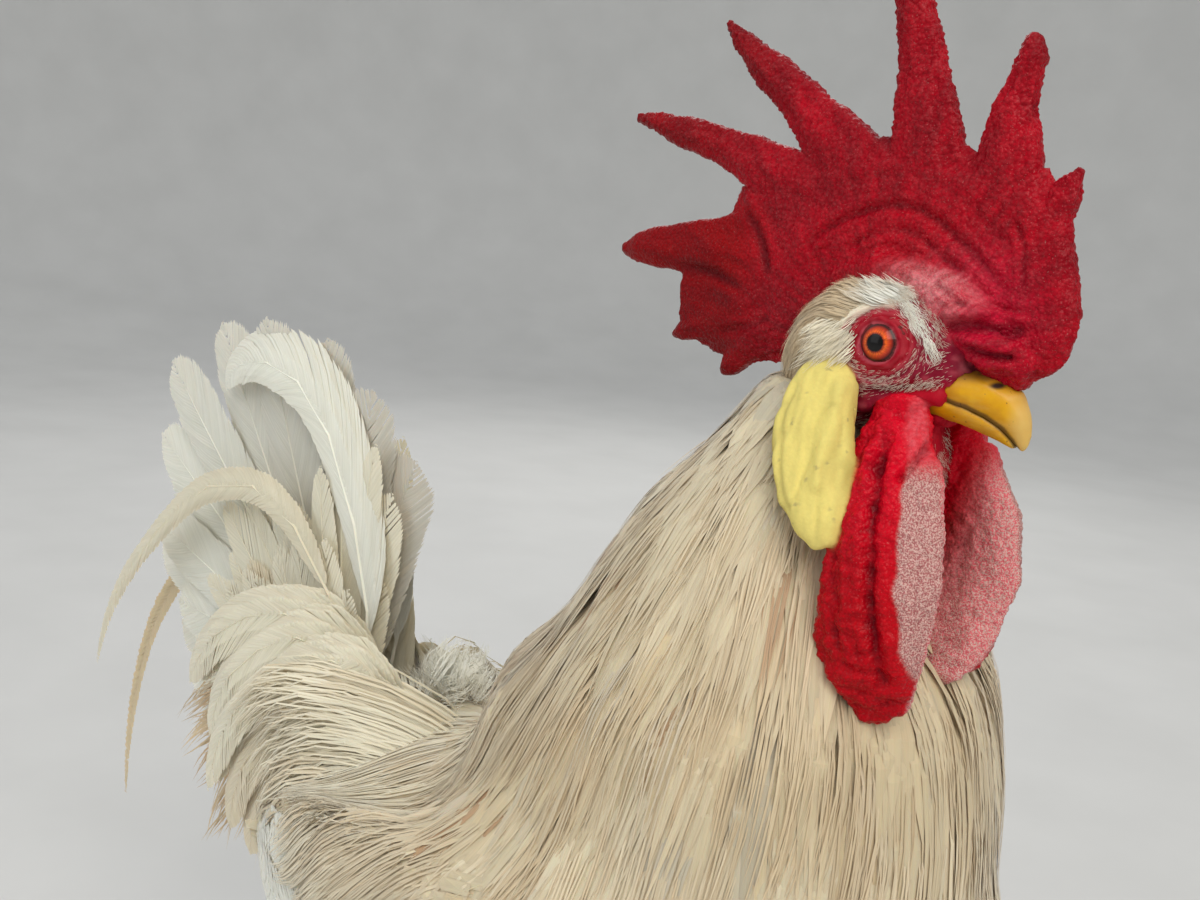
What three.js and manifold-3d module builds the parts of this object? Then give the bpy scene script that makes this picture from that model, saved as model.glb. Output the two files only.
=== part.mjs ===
// A standing rooster of the white Leghorn type, life size, as a still museum model.
// Millimetres, +X forward (the way it faces), +Y its left, +Z up, floor at Z = 0.
// The solids are the bird's outer shape, coat and plumes included. Each named part of the body is
// one closed solid, and neighbours stay GAP apart.
import * as THREE from "three";
import { mergeVertices } from "three/addons/utils/BufferGeometryUtils.js";
import Module from "manifold-3d";

const wasm = await Module();
wasm.setup();

// ---------- driving dimensions ----------
const GAP = 0.3; // clearance between touching parts
const EYE_HEIGHT = 425; // floor to the eye line
const EYE_FORWARD = 115; // eyes ahead of the middle of the stance
const HEAD_TURN = THREE.MathUtils.degToRad(-4); // the head looks a little to its right
const HEAD_ASIDE = -14; // the neck carries the head a little over to its right
const EYE_SPREAD = 11.2; // middle plane to the centre of an eyeball
const EYE_RADIUS = 6.6;
const LEG_SPREAD = 39; // middle plane to a shank
const FOOT_FORWARD = 24; // where the toes meet
const ORIGIN_X = -84.54; // middle of the model's length, measured in this frame
const ORIGIN_Y = 0;

const SIDES = { L: 1, R: -1 };

// ---------- colours ----------
const paint = (color, roughness) => new THREE.MeshStandardMaterial({ color, roughness, metalness: 0 });
const ivory = paint(0xe6dcc4, 0.75);
const cream = paint(0xe9dfc6, 0.75);
const white = paint(0xecebdf, 0.7);
const buff = paint(0xd9c39b, 0.75);
const red = paint(0xa8121f, 0.55);
const facePink = paint(0xb4545a, 0.65);
const lobeCream = paint(0xe6dc96, 0.6);
const horn = paint(0xe0a52c, 0.4);
const amber = paint(0xb5481a, 0.15);
const shankYellow = paint(0xd9ae45, 0.55);
const clawHorn = paint(0xcdb27c, 0.45);

// ---------- shape tools ----------
const smooth = (a, b, c, d, t) =>
  b + 0.5 * t * (c - a + t * (2 * a - 5 * b + 4 * c - d + t * (3 * (b - c) + d - a)));

// Reads a table of rows as a smooth curve: u = 0 is the first row and u = 1 the last.
function sample(rows, u) {
  const last = rows.length - 1;
  const i = Math.min(Math.floor(u * last), last - 1);
  const at = (k) => rows[Math.max(0, Math.min(last, k))];
  return rows[0].map((_, c) => smooth(at(i - 1)[c], at(i)[c], at(i + 1)[c], at(i + 2)[c], u * last - i));
}

// Closes a stack of rings, each a list of points, into one geometry with a fan at each end.
function skin(rings) {
  const n = rings[0].length;
  const points = rings.flat();
  const middle = (ring) => ring.reduce((s, p) => s.add(p), new THREE.Vector3()).divideScalar(n);
  points.push(middle(rings[0]), middle(rings[rings.length - 1]));
  const first = points.length - 2;
  const index = [];
  for (let r = 0; r + 1 < rings.length; r++)
    for (let k = 0; k < n; k++) {
      const a = r * n + k;
      const b = r * n + ((k + 1) % n);
      index.push(a, b, b + n, a, b + n, a + n);
    }
  const end = (rings.length - 1) * n;
  for (let k = 0; k < n; k++) {
    index.push(first, (k + 1) % n, k);
    index.push(first + 1, end + k, end + ((k + 1) % n));
  }
  const positions = new Float32Array(points.flatMap((p) => [p.x, p.y, p.z]));
  return new THREE.BufferGeometry()
    .setAttribute("position", new THREE.BufferAttribute(positions, 3))
    .setIndex(index);
}

// A tube along rows of [x, y, z, half width along `across`, half depth], with steps rings of sides points.
// blunt is the superellipse power: 2 is an ellipse, and more is boxier.
function sweep(rows, { steps = 12, sides = 16, across = [0, 1, 0], blunt = 2 } = {}) {
  const rings = [];
  for (let s = 0; s <= steps; s++) {
    const u = s / steps;
    const [x, y, z, wide, deep] = sample(rows, u);
    const before = sample(rows, Math.max(0, u - 0.02));
    const after = sample(rows, Math.min(1, u + 0.02));
    const along = new THREE.Vector3(...after.slice(0, 3).map((v, k) => v - before[k])).normalize();
    const side = new THREE.Vector3(...across);
    side.addScaledVector(along, -side.dot(along)).normalize();
    const up = new THREE.Vector3().crossVectors(along, side);
    const ring = [];
    for (let k = 0; k < sides; k++) {
      const a = (2 * Math.PI * k) / sides;
      const bend = (v) => Math.sign(v) * Math.abs(v) ** (2 / blunt);
      ring.push(
        new THREE.Vector3(x, y, z)
          .addScaledVector(side, Math.max(wide, 0.25) * bend(Math.cos(a)))
          .addScaledVector(up, Math.max(deep, 0.25) * bend(Math.sin(a))),
      );
    }
    rings.push(ring);
  }
  return skin(rings);
}

// A geometry as a manifold-3d solid, facing out.
function solid(geometry) {
  const bare = new THREE.BufferGeometry();
  bare.setAttribute("position", geometry.getAttribute("position").clone());
  if (geometry.index) bare.setIndex(geometry.index.clone());
  const merged = mergeVertices(bare, 1e-3);
  const made = new wasm.Manifold(
    new wasm.Mesh({
      numProp: 3,
      vertProperties: merged.attributes.position.array,
      triVerts: new Uint32Array(merged.index.array),
    }),
  );
  if (made.volume() >= 0) return made;
  const turned = merged.index.array.slice();
  for (let i = 0; i < turned.length; i += 3) {
    const kept = turned[i + 1];
    turned[i + 1] = turned[i + 2];
    turned[i + 2] = kept;
  }
  return new wasm.Manifold(
    new wasm.Mesh({
      numProp: 3,
      vertProperties: merged.attributes.position.array,
      triVerts: new Uint32Array(turned),
    }),
  );
}

// A solid's vertices and triangles as a BufferGeometry.
function geometryOf(made) {
  const mesh = made.getMesh();
  const positions = new Float32Array(mesh.numVert * 3);
  for (let i = 0; i < mesh.numVert; i++)
    positions.set(mesh.vertProperties.subarray(i * mesh.numProp, i * mesh.numProp + 3), i * 3);
  return new THREE.BufferGeometry()
    .setAttribute("position", new THREE.BufferAttribute(positions, 3))
    .setIndex(new THREE.BufferAttribute(new Uint32Array(mesh.triVerts), 1));
}

// The same solid with every face moved out by GAP, to cut a neighbour with.
function grown(made, by = GAP) {
  const geometry = geometryOf(made);
  geometry.computeVertexNormals();
  const p = geometry.attributes.position;
  const n = geometry.attributes.normal;
  for (let i = 0; i < p.count; i++)
    p.setXYZ(i, p.getX(i) + by * n.getX(i), p.getY(i) + by * n.getY(i), p.getZ(i) + by * n.getZ(i));
  return solid(geometry);
}

const union = (parts) => parts.reduce((a, b) => a.add(b));

// What is left of a solid outside its neighbours: the largest body, without slivers.
function clearOf(made, ...neighbours) {
  const cut = neighbours.reduce((a, b) => a.subtract(grown(b)), made);
  return cut.decompose().reduce((a, b) => (a.volume() > b.volume() ? a : b));
}

const moved = (geometry, matrix) => geometry.clone().applyMatrix4(matrix);

// A slab between two heights of a plane through `point`, to part a body with.
function halfSpace(point, tilt, above) {
  const size = 1200;
  const shift = above ? size / 2 + GAP / 2 : -size / 2 - GAP / 2;
  const box = new THREE.BoxGeometry(size, size, size).translate(0, 0, shift);
  return solid(box.rotateY(-tilt).translate(...point));
}

// ---------- the head, in its own frame: the origin is midway between the eyes ----------
const headPlace = new THREE.Matrix4()
  .makeTranslation(EYE_FORWARD, HEAD_ASIDE, EYE_HEIGHT)
  .multiply(new THREE.Matrix4().makeRotationZ(HEAD_TURN));

const inPlace = (geometry) => solid(moved(geometry, headPlace));

// Rows of [x, z, half width, half height] on the head's middle plane.
const onMiddle = (rows) => rows.map(([x, z, wide, deep]) => [x, 0, z, wide, deep]);

const skull = () =>
  inPlace(
    sweep(
      onMiddle([
        [-31, -12, 8, 7],
        [-27, -10.5, 12.5, 12.5],
        [-19, -6.5, 16, 17],
        [-7, -2.5, 17, 19.5],
        [4, -4, 15, 17.5],
        [12, -6.8, 10.5, 12.5],
        [16, -8, 8, 9],
        [18.5, -8.5, 5, 6],
      ]),
      { steps: 8, sides: 12 },
    ),
  );

// Loose skin joins the chin to the neck between the wattles: rows of [x, z, half width, half depth].
const throat = () =>
  inPlace(
    sweep(
      onMiddle([
        [1, -16, 11, 9],
        [2, -29, 9.5, 8.5],
        [2, -42, 7, 7.5],
        [0, -52, 3, 4],
      ]),
      { steps: 3, sides: 7 },
    ),
  );

const upperBill = () =>
  inPlace(
    sweep(
      onMiddle([
        [8, -8, 8.2, 5.5],
        [14, -8.6, 8.4, 6.2],
        [20, -9.4, 7.2, 6],
        [26, -12, 5, 5.4],
        [29.6, -16, 2.8, 3.2],
        [31, -19, 1.6, 1.6],
        [31.4, -20.8, 0.5, 0.5],
      ]),
      { steps: 8, sides: 10 },
    ),
  );

const lowerBill = () =>
  inPlace(
    sweep(
      onMiddle([
        [5, -13, 7.5, 3.5],
        [12, -12.2, 8.2, 4.3],
        [18, -13, 7.2, 4.2],
        [24, -15.4, 5, 3.4],
        [28, -18.2, 2.6, 2.1],
        [29.8, -20.2, 1, 0.8],
      ]),
      { steps: 7, sides: 10 },
    ),
  );

const eyeball = (side) =>
  inPlace(
    new THREE.SphereGeometry(EYE_RADIUS, 10, 7)
      .rotateX(Math.PI / 2)
      .translate(0, side * EYE_SPREAD, 0),
  );

// The comb is a blade on a thick base, with points that fan out from it.
// Points are [tip x, tip z, root x, root z, half width at the root, bow]; bow bends the point back.
const COMB_THICK = 3.4; // half thickness of the blade
const COMB_POINTS = [
  [35, 42, 23, 18, 9, 0],
  [20, 70, 17, 34, 9.5, -0.5],
  [-16, 93, 0, 33, 10.5, 1],
  [-70, 78.5, -14, 34.5, 9.5, 0],
  [-101, 54, -30, 32, 8.5, 3],
  [-102, 16, -45, 17, 13, 1],
  [-79, -7, -50, 5, 10, 0],
  [-59, -15, -42, 2, 9, 0],
];

function combPoint([tipX, tipZ, rootX, rootZ, wide, bow]) {
  const length = Math.hypot(tipX - rootX, tipZ - rootZ);
  const off = [-(tipZ - rootZ) / length, (tipX - rootX) / length];
  const at = (u, w, thick) => {
    const lean = bow * Math.sin(Math.PI * u);
    return [
      rootX + u * (tipX - rootX) - lean * off[0],
      0,
      rootZ + u * (tipZ - rootZ) - lean * off[1],
      thick * COMB_THICK,
      w * wide,
    ];
  };
  const rows = [
    at(-0.12, 0.9, 1),
    at(0.12, 1.02, 1.1),
    at(0.4, 0.74, 1),
    at(0.7, 0.42, 0.9),
    at(0.93, 0.26, 0.7),
    at(1, 0.08, 0.3),
  ];
  return sweep(rows, { steps: 4, sides: 6 });
}

const comb = () => {
  const blade = sweep(
    onMiddle([
      [38, 17, 1.5, 9],
      [35, 16.5, 4, 18],
      [27, 16, 4.6, 23],
      [14, 21, 4.6, 24],
      [-4, 24, 4.4, 24],
      [-22, 23, 4, 25],
      [-38, 17, 3.8, 27],
      [-54, 8.5, 3.2, 22],
      [-68, 6, 2.6, 15],
      [-77, 6, 2, 10],
    ]),
    { steps: 10, sides: 8 },
  );
  const base = sweep(
    onMiddle([
      [-24, 13, 4, 4],
      [-14, 15, 8.5, 8],
      [4, 13, 10, 10],
      [18, 7, 9, 10],
      [26, 0.5, 7, 8],
      [31, -2.5, 4, 5],
    ]),
    { steps: 4, sides: 7 },
  );
  return union([blade, base, ...COMB_POINTS.map(combPoint)].map(inPlace));
};

// A wattle hangs from the corner of the bill: rows of [x, y, z, half length, half thickness].
// The head has just turned, so the left one bows forward and swings in and back at its lower end.
const WATTLE_LENGTH = 86;
const WATTLE_BOW = 4;
const WATTLE_SWING = [9, 8];
const wattleRow = (side, [x, y, z, length, thickness]) => {
  const down = side > 0 ? -z / WATTLE_LENGTH : 0;
  const forward = WATTLE_BOW * down - WATTLE_SWING[0] * down ** 4;
  return [x + forward, side * (y - WATTLE_SWING[1] * down ** 4), z, length, thickness];
};
const wattle = (side) =>
  inPlace(
    sweep(
      [
        [6, 9.5, -13, 5, 3],
        [6, 12, -21, 8, 4.4],
        [8.5, 16, -33, 11.5, 5],
        [11.5, 19.5, -47, 13.5, 5.4],
        [11.8, 21, -61, 13.4, 5.6],
        [10.6, 20, -73, 12.6, 5.4],
        [10, 17.5, -82, 9.8, 4.4],
        [9.6, 17, -WATTLE_LENGTH, 5, 1.8],
      ].map((row) => wattleRow(side, row)),
      { steps: 8, sides: 9, across: [1, -0.2 * side, 0] },
    ),
  );

// An earlobe lies on the side of the cheek behind the eye.
const earlobe = (side) =>
  inPlace(
    sweep(
      [
        [-12, 16.5, -4, 2, 1],
        [-11.5, 18.5, -9, 6.5, 2.4],
        [-10.5, 21.5, -19, 9.6, 3],
        [-8.2, 24, -31, 9.6, 3],
        [-4, 26, -41, 6.5, 2.6],
        [-0.5, 27, -48, 2, 1],
      ].map(([x, y, z, a, b]) => [x, side * y, z, a, b]),
      { steps: 7, sides: 8, across: [1, -0.3 * side, 0] },
    ),
  );

// ---------- neck and trunk ----------
// The hackle is a cone from the head to the shoulders: rows of [x, y, z, half width, half depth].
const neckCone = () =>
  solid(
    sweep(
      [
        [50, 0, 230, 70, 80],
        [58, 0, 262, 71, 80],
        [68, 0, 290, 73, 80],
        [76, -1, 318, 69, 68],
        [78, -4, 344, 62.5, 56],
        [80.5, -9, 370, 44.5, 38.5],
        [87, -13, 394, 26, 20],
        [92, HEAD_ASIDE, 412, 16, 14],
        [92, HEAD_ASIDE, 426, 9, 9],
      ],
      { steps: 11, sides: 16 },
    ),
  );

const trunkBarrel = () =>
  solid(
    sweep(
      onMiddle([
        [-128, 240, 14, 17],
        [-116, 238, 26, 28],
        [-92, 230, 44, 41],
        [-58, 220, 60, 54],
        [-15, 217, 72, 64],
        [30, 222, 78, 70],
        [72, 230, 78, 73],
        [110, 238, 69, 66],
        [136, 244, 52, 50],
        [151, 248, 29, 29],
        [156, 250, 10, 10],
      ]),
      { steps: 11, sides: 16 },
    ),
  );

const NECK_CUT = { point: [60, 0, 268], tilt: THREE.MathUtils.degToRad(-14) };

// ---------- wings ----------
const wing = (side) =>
  solid(
    sweep(
      [
        [112, 58, 252, 4, 16],
        [100, 68, 252, 9, 30],
        [62, 79, 246, 12, 40],
        [15, 79, 236, 12, 42],
        [-35, 71, 226, 11, 36],
        [-78, 56, 218, 8, 26],
        [-108, 44, 216, 5, 15],
        [-128, 36, 217, 2, 5],
      ].map(([x, y, z, a, b]) => [x, side * y, z, a, b]),
      { steps: 8, sides: 8 },
    ),
  );

// ---------- tail ----------
// The fan: feathers side by side in a steep sheet. Rows of [angle up from the back, length].
const TAIL_ROOT = [-112, 0, 248];
const TAIL_FEATHERS = [
  [100, 112],
  [84, 130],
  [70, 150],
  [57, 168],
  [45, 190],
  [34, 198],
  [23, 184],
  [12, 158],
  [0, 146],
  [-14, 128],
];

function tailFeather([lift, length]) {
  const a = THREE.MathUtils.degToRad(lift);
  const out = [-Math.cos(a), Math.sin(a)];
  const at = (u, wide, thick) => [
    TAIL_ROOT[0] + u * length * out[0],
    0,
    TAIL_ROOT[2] + u * length * out[1],
    thick,
    wide,
  ];
  const rows = [
    at(-0.05, 9, 17),
    at(0.25, 15, 15),
    at(0.6, 20, 10),
    at(0.85, 19, 6),
    at(0.97, 12, 3.5),
    at(1, 3, 1.5),
  ];
  return sweep(rows, { steps: 4, sides: 6 });
}

const tailFan = () => union(TAIL_FEATHERS.map((feather) => solid(tailFeather(feather))));

// Long curved plumes outside the fan: rows of [x, y, z, half thickness, half width], y outwards.
const SICKLE_FRONT = [
  [-94, 17, 256, 3, 9],
  [-84, 18, 292, 2.6, 11],
  [-89, 18, 324, 2.4, 12],
  [-110, 17, 351, 2.2, 13],
  [-140, 15, 369, 1.8, 12],
  [-170, 14, 381, 1.4, 9],
  [-200, 13, 390, 0.8, 3],
];
const SICKLE_BACK = [
  [-102, 24, 258, 3, 8],
  [-98, 26, 290, 2.6, 9],
  [-120, 27, 318, 2.4, 10],
  [-152, 26, 331, 2.2, 10],
  [-190, 24, 327, 2, 9],
  [-232, 22, 306, 1.8, 7],
  [-268, 21, 271, 1.4, 5],
  [-299, 20, 218, 0.7, 2],
];
const SICKLE_LONG = [
  [-106, 20, 258, 2.6, 7],
  [-118, 22, 296, 2.2, 8],
  [-160, 20, 316, 2, 8],
  [-215, 17, 306, 1.8, 7],
  [-266, 15, 272, 1.5, 5],
  [-296, 14, 223, 1.2, 4],
  [-317, 13, 180, 1, 3],
  [-328, 12, 126, 0.7, 1.5],
];
const COVERT_BACK = [
  [-64, 34, 264, 4, 12],
  [-90, 42, 276, 4.5, 15],
  [-122, 44, 268, 4.5, 16],
  [-146, 43, 242, 3.6, 13],
  [-152, 41, 212, 1, 4],
];
const plume = (rows, side) =>
  solid(
    sweep(
      rows.map(([x, y, z, a, b]) => [x, side * y, z, a, b]),
      { steps: 8, sides: 6 },
    ),
  );

// ---------- legs ----------
const thigh = (side) =>
  solid(
    sweep(
      [
        [30, 40, 216, 24, 38],
        [26, 42, 186, 25, 37],
        [14, 42, 156, 20, 27],
        [0, 40, 130, 12.5, 15.5],
        [-8, 39, 114, 8, 9],
      ].map(([x, y, z, a, b]) => [x, side * y, z, a, b]),
      { steps: 6, sides: 10 },
    ),
  );

const shank = (side) =>
  solid(
    sweep(
      [
        [-9, LEG_SPREAD, 122, 7, 7.5],
        [-9, LEG_SPREAD, 110, 8, 9],
        [-3, LEG_SPREAD, 92, 5.4, 6.6],
        [8, LEG_SPREAD, 56, 4.8, 5.8],
        [17, LEG_SPREAD, 28, 5.6, 6.4],
        [FOOT_FORWARD - 2, LEG_SPREAD, 13, 7.2, 7.6],
        [FOOT_FORWARD, LEG_SPREAD, 8, 7, 7],
      ].map(([x, y, z, a, b]) => [x, side * y, z, a, b]),
      { steps: 6, sides: 7 },
    ),
  );

const spur = (side) =>
  solid(
    sweep(
      [
        [6, 34, 46, 3.8, 3.8],
        [-2, 30.5, 45, 3.2, 3.2],
        [-10, 28, 46.5, 2.2, 2.2],
        [-16, 27, 50, 0.8, 0.8],
        [-17.5, 27, 51.5, 0.3, 0.3],
      ].map(([x, y, z, a, b]) => [x, side * y, z, a, b]),
      { steps: 5, sides: 5 },
    ),
  );

// Toes: [name, heading from straight ahead (outwards positive), length, radius at the root]
const TOES = [
  ["inner", -34, 46, 5.0],
  ["middle", 2, 66, 5.4],
  ["outer", 38, 50, 4.8],
  ["hind", 168, 24, 4.2],
];
const TOE_FLAT = 0.8; // how much of a toe's pad is pressed flat

function toeRows([, heading, length, radius], side) {
  const a = THREE.MathUtils.degToRad(heading);
  const lift = (u) => radius * (0.9 - 0.25 * u) - TOE_FLAT;
  const at = (u, size, extra = 0) => [
    FOOT_FORWARD + u * length * Math.cos(a),
    side * (LEG_SPREAD + u * length * Math.sin(a)),
    lift(u) + extra,
    radius * size,
    radius * size,
  ];
  return [
    at(-0.05, 1, 2),
    at(0.15, 1, 1),
    at(0.32, 0.92),
    at(0.45, 0.8),
    at(0.6, 0.88),
    at(0.75, 0.72),
    at(0.9, 0.74),
    at(1, 0.5),
  ];
}

const toeAcross = ([, heading], side) => {
  const a = THREE.MathUtils.degToRad(heading);
  return [-Math.sin(a), side * Math.cos(a), 0];
};

const floorCut = () => halfSpace([0, 0, -GAP / 2], 0, true);

const foot = (side) => {
  const toes = TOES.map((toe) =>
    solid(sweep(toeRows(toe, side), { steps: 5, sides: 5, across: toeAcross(toe, side) })),
  );
  const ball = new THREE.SphereGeometry(8.5, 7, 5)
    .scale(1, 1, 0.75)
    .translate(FOOT_FORWARD, side * LEG_SPREAD, 6);
  return union([...toes, solid(ball)]).intersect(floorCut());
};

const claw = (toe, side) => {
  const [, heading, length, radius] = toe;
  const a = THREE.MathUtils.degToRad(heading);
  const at = (reach, z, size) => [
    FOOT_FORWARD + (length + reach) * Math.cos(a),
    side * (LEG_SPREAD + (length + reach) * Math.sin(a)),
    z,
    size * 0.8,
    size,
  ];
  const r = radius * 0.55;
  return solid(
    sweep([at(-4, 3.2, r), at(2, 4, r), at(7, 3.4, r * 0.7), at(11, 1.6, r * 0.35), at(12.5, 0.6, 0.3)], {
      steps: 3,
      sides: 5,
      across: toeAcross(toe, side),
    }),
  ).intersect(floorCut());
};

// ---------- putting it together ----------
const model = new THREE.Group();
model.position.set(-ORIGIN_X, -ORIGIN_Y, 0);

function show(name, made, material) {
  const mesh = new THREE.Mesh(geometryOf(made), material);
  mesh.name = name;
  model.add(mesh);
}

const whole = union([trunkBarrel(), neckCone()]);
const headParts = [skull(), throat()];
const head = union(headParts);
const bills = [upperBill(), lowerBill()];
const eyes = { L: eyeball(1), R: eyeball(-1) };
const combWhole = comb();
const trunk = whole.intersect(halfSpace(NECK_CUT.point, NECK_CUT.tilt, false));
const neck = clearOf(whole.intersect(halfSpace(NECK_CUT.point, NECK_CUT.tilt, true)), ...headParts, combWhole);

show("trunk", trunk, cream);
show("neck", neck, ivory);
show("head", clearOf(head, eyes.L, eyes.R, ...bills), facePink);
show("bill_upper", clearOf(bills[0], combWhole), horn);
show("bill_lower", clearOf(bills[1], bills[0]), horn);
show("comb", clearOf(combWhole, ...headParts, eyes.L, eyes.R), red);

const fan = clearOf(tailFan(), whole);
show("tail_fan", fan, white);

for (const [letter, side] of Object.entries(SIDES)) {
  show(`eye_${letter}`, eyes[letter], amber);
  const lobe = earlobe(side);
  show(`earlobe_${letter}`, clearOf(lobe, ...headParts, whole), lobeCream);
  show(`wattle_${letter}`, clearOf(wattle(side), ...headParts, ...bills, whole, lobe), red);
  show(`wing_${letter}`, clearOf(wing(side), whole, fan), cream);
  const leg = thigh(side);
  const shin = shank(side);
  const toes = foot(side);
  show(`thigh_${letter}`, clearOf(leg, whole, wing(side)), cream);
  show(`shank_${letter}`, clearOf(shin, leg, toes), shankYellow);
  show(`spur_${letter}`, clearOf(spur(side), shin), clawHorn);
  show(`foot_${letter}`, toes, shankYellow);
  for (const toe of TOES) show(`claw_${toe[0]}_${letter}`, clearOf(claw(toe, side), toes), clawHorn);
  const plumes = {
    sickle_front: [SICKLE_FRONT, white],
    sickle_back: [side < 0 ? SICKLE_BACK : SICKLE_LONG, white],
    covert_back: [COVERT_BACK, buff],
  };
  for (const [name, [rows, material]] of Object.entries(plumes))
    show(`${name}_${letter}`, clearOf(plume(rows, side), whole, fan, wing(side)), material);
}

export default model;
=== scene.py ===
"""A still, life-size rooster: one skin, separate bill, eyes, claws and spurs, and a coat of mesh feathers."""

import functools
import math

import bpy
import numpy as np
from mathutils import Matrix, Vector
from mathutils.bvhtree import BVHTree
from mathutils.kdtree import KDTree


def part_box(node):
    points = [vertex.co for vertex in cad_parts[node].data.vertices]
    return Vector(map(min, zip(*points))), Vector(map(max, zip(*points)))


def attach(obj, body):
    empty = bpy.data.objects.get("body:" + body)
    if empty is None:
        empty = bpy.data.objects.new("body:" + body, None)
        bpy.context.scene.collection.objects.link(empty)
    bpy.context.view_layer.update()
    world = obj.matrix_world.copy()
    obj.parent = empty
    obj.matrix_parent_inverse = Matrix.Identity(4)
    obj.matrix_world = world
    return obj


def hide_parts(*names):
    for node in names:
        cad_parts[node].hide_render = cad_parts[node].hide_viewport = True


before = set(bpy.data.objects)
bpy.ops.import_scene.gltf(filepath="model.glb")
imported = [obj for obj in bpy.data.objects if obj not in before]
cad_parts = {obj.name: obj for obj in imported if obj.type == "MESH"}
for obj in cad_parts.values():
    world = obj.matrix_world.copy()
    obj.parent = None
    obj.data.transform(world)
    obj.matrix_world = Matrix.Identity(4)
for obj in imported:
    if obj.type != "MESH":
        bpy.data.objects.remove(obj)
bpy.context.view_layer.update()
bpy.context.scene.view_settings.view_transform = "Standard"
RNG = np.random.default_rng(20)
UP = np.array([0.0, 0.0, 1.0])
METRE = 1000.0  # millimetres
ROUNDING = (0.55, -0.57)  # the two moves towards the neighbours' middle that smooth without shrinking


# ---------- small maths, in millimetres ----------
def unit(a):
    """Vectors of length 1 along the last axis."""
    return a / np.maximum(np.linalg.norm(a, axis=-1, keepdims=True), 1e-9)


def square_to(a, n):
    """The unit vectors nearest to a at right angles to the unit vectors n."""
    return unit(a - (a * n).sum(-1, keepdims=True) * n)


def step(x, lo, hi):
    """0 below lo, 1 above hi, smooth between."""
    t = np.clip((x - lo) / (hi - lo), 0.0, 1.0)
    return t * t * (3 - 2 * t)


def share(x, lo, hi):
    """How far x has come from lo (0) to hi (1)."""
    return (x - lo) / (hi - lo)


def bearing(a, b):
    """The direction of (a, b), 0..1 for a whole turn."""
    return np.arctan2(a, b) / (2 * math.pi) + 0.5


def bump(x, middle, half):
    """1 at middle, falling to 0 at half either side."""
    return np.clip(1 - ((x - middle) / half) ** 2, 0, 1) ** 2


def curve(x, *knots):
    """Straight-line interpolation through (x, y) knots."""
    return np.interp(x, *np.transpose(knots))


def lattice(i, j, k, seed):
    """A number in -1..1 for each whole-numbered place, always the same one for the same seed."""
    h = (i * 374761393 + j * 668265263 + k * 1274126177 + seed * 974711) & 0xFFFFFFFF
    h = ((h ^ (h >> 13)) * 1103515245) & 0xFFFFFFFF
    return ((h ^ (h >> 16)) & 0xFFFF) / 32767.5 - 1.0


def noise(p, scale, seed=0):
    """Smooth value noise in -1..1; scale is one size or one per axis."""
    q = np.asarray(p, float) / np.asarray(scale, float)
    base = np.floor(q).astype(np.int64)
    t = q - base
    t = t * t * (3 - 2 * t)
    out = np.zeros(len(q))
    for corner in range(8):
        d = [(corner >> a) & 1 for a in range(3)]
        w = np.prod([t[:, a] if d[a] else 1 - t[:, a] for a in range(3)], axis=0)
        out += w * lattice(base[:, 0] + d[0], base[:, 1] + d[1], base[:, 2] + d[2], seed)
    return out


def fbm(p, scale, octaves, seed):
    """Noise with finer and fainter noise on top of it."""
    scale = np.asarray(scale, float)
    return sum(noise(p, scale / 2**o, seed + o) / 2**o for o in range(octaves))


def spline(rows, u):
    """Catmull-Rom through rows; u in 0..1 is an array."""
    rows = np.asarray(rows, float)
    last = len(rows) - 1
    x = np.clip(np.asarray(u, float), 0, 1) * last
    i = np.minimum(x.astype(int), last - 1)
    t = (x - i)[..., None]
    a, b, c, d = (rows[np.clip(i + k, 0, last)] for k in (-1, 0, 1, 2))
    return b + 0.5 * t * (c - a + t * (2 * a - 5 * b + 4 * c - d + t * (3 * (b - c) + d - a)))


# ---------- surfaces ----------
def triangles(quads):
    return np.concatenate([quads[:, [0, 1, 2]], quads[:, [0, 2, 3]]])


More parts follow.
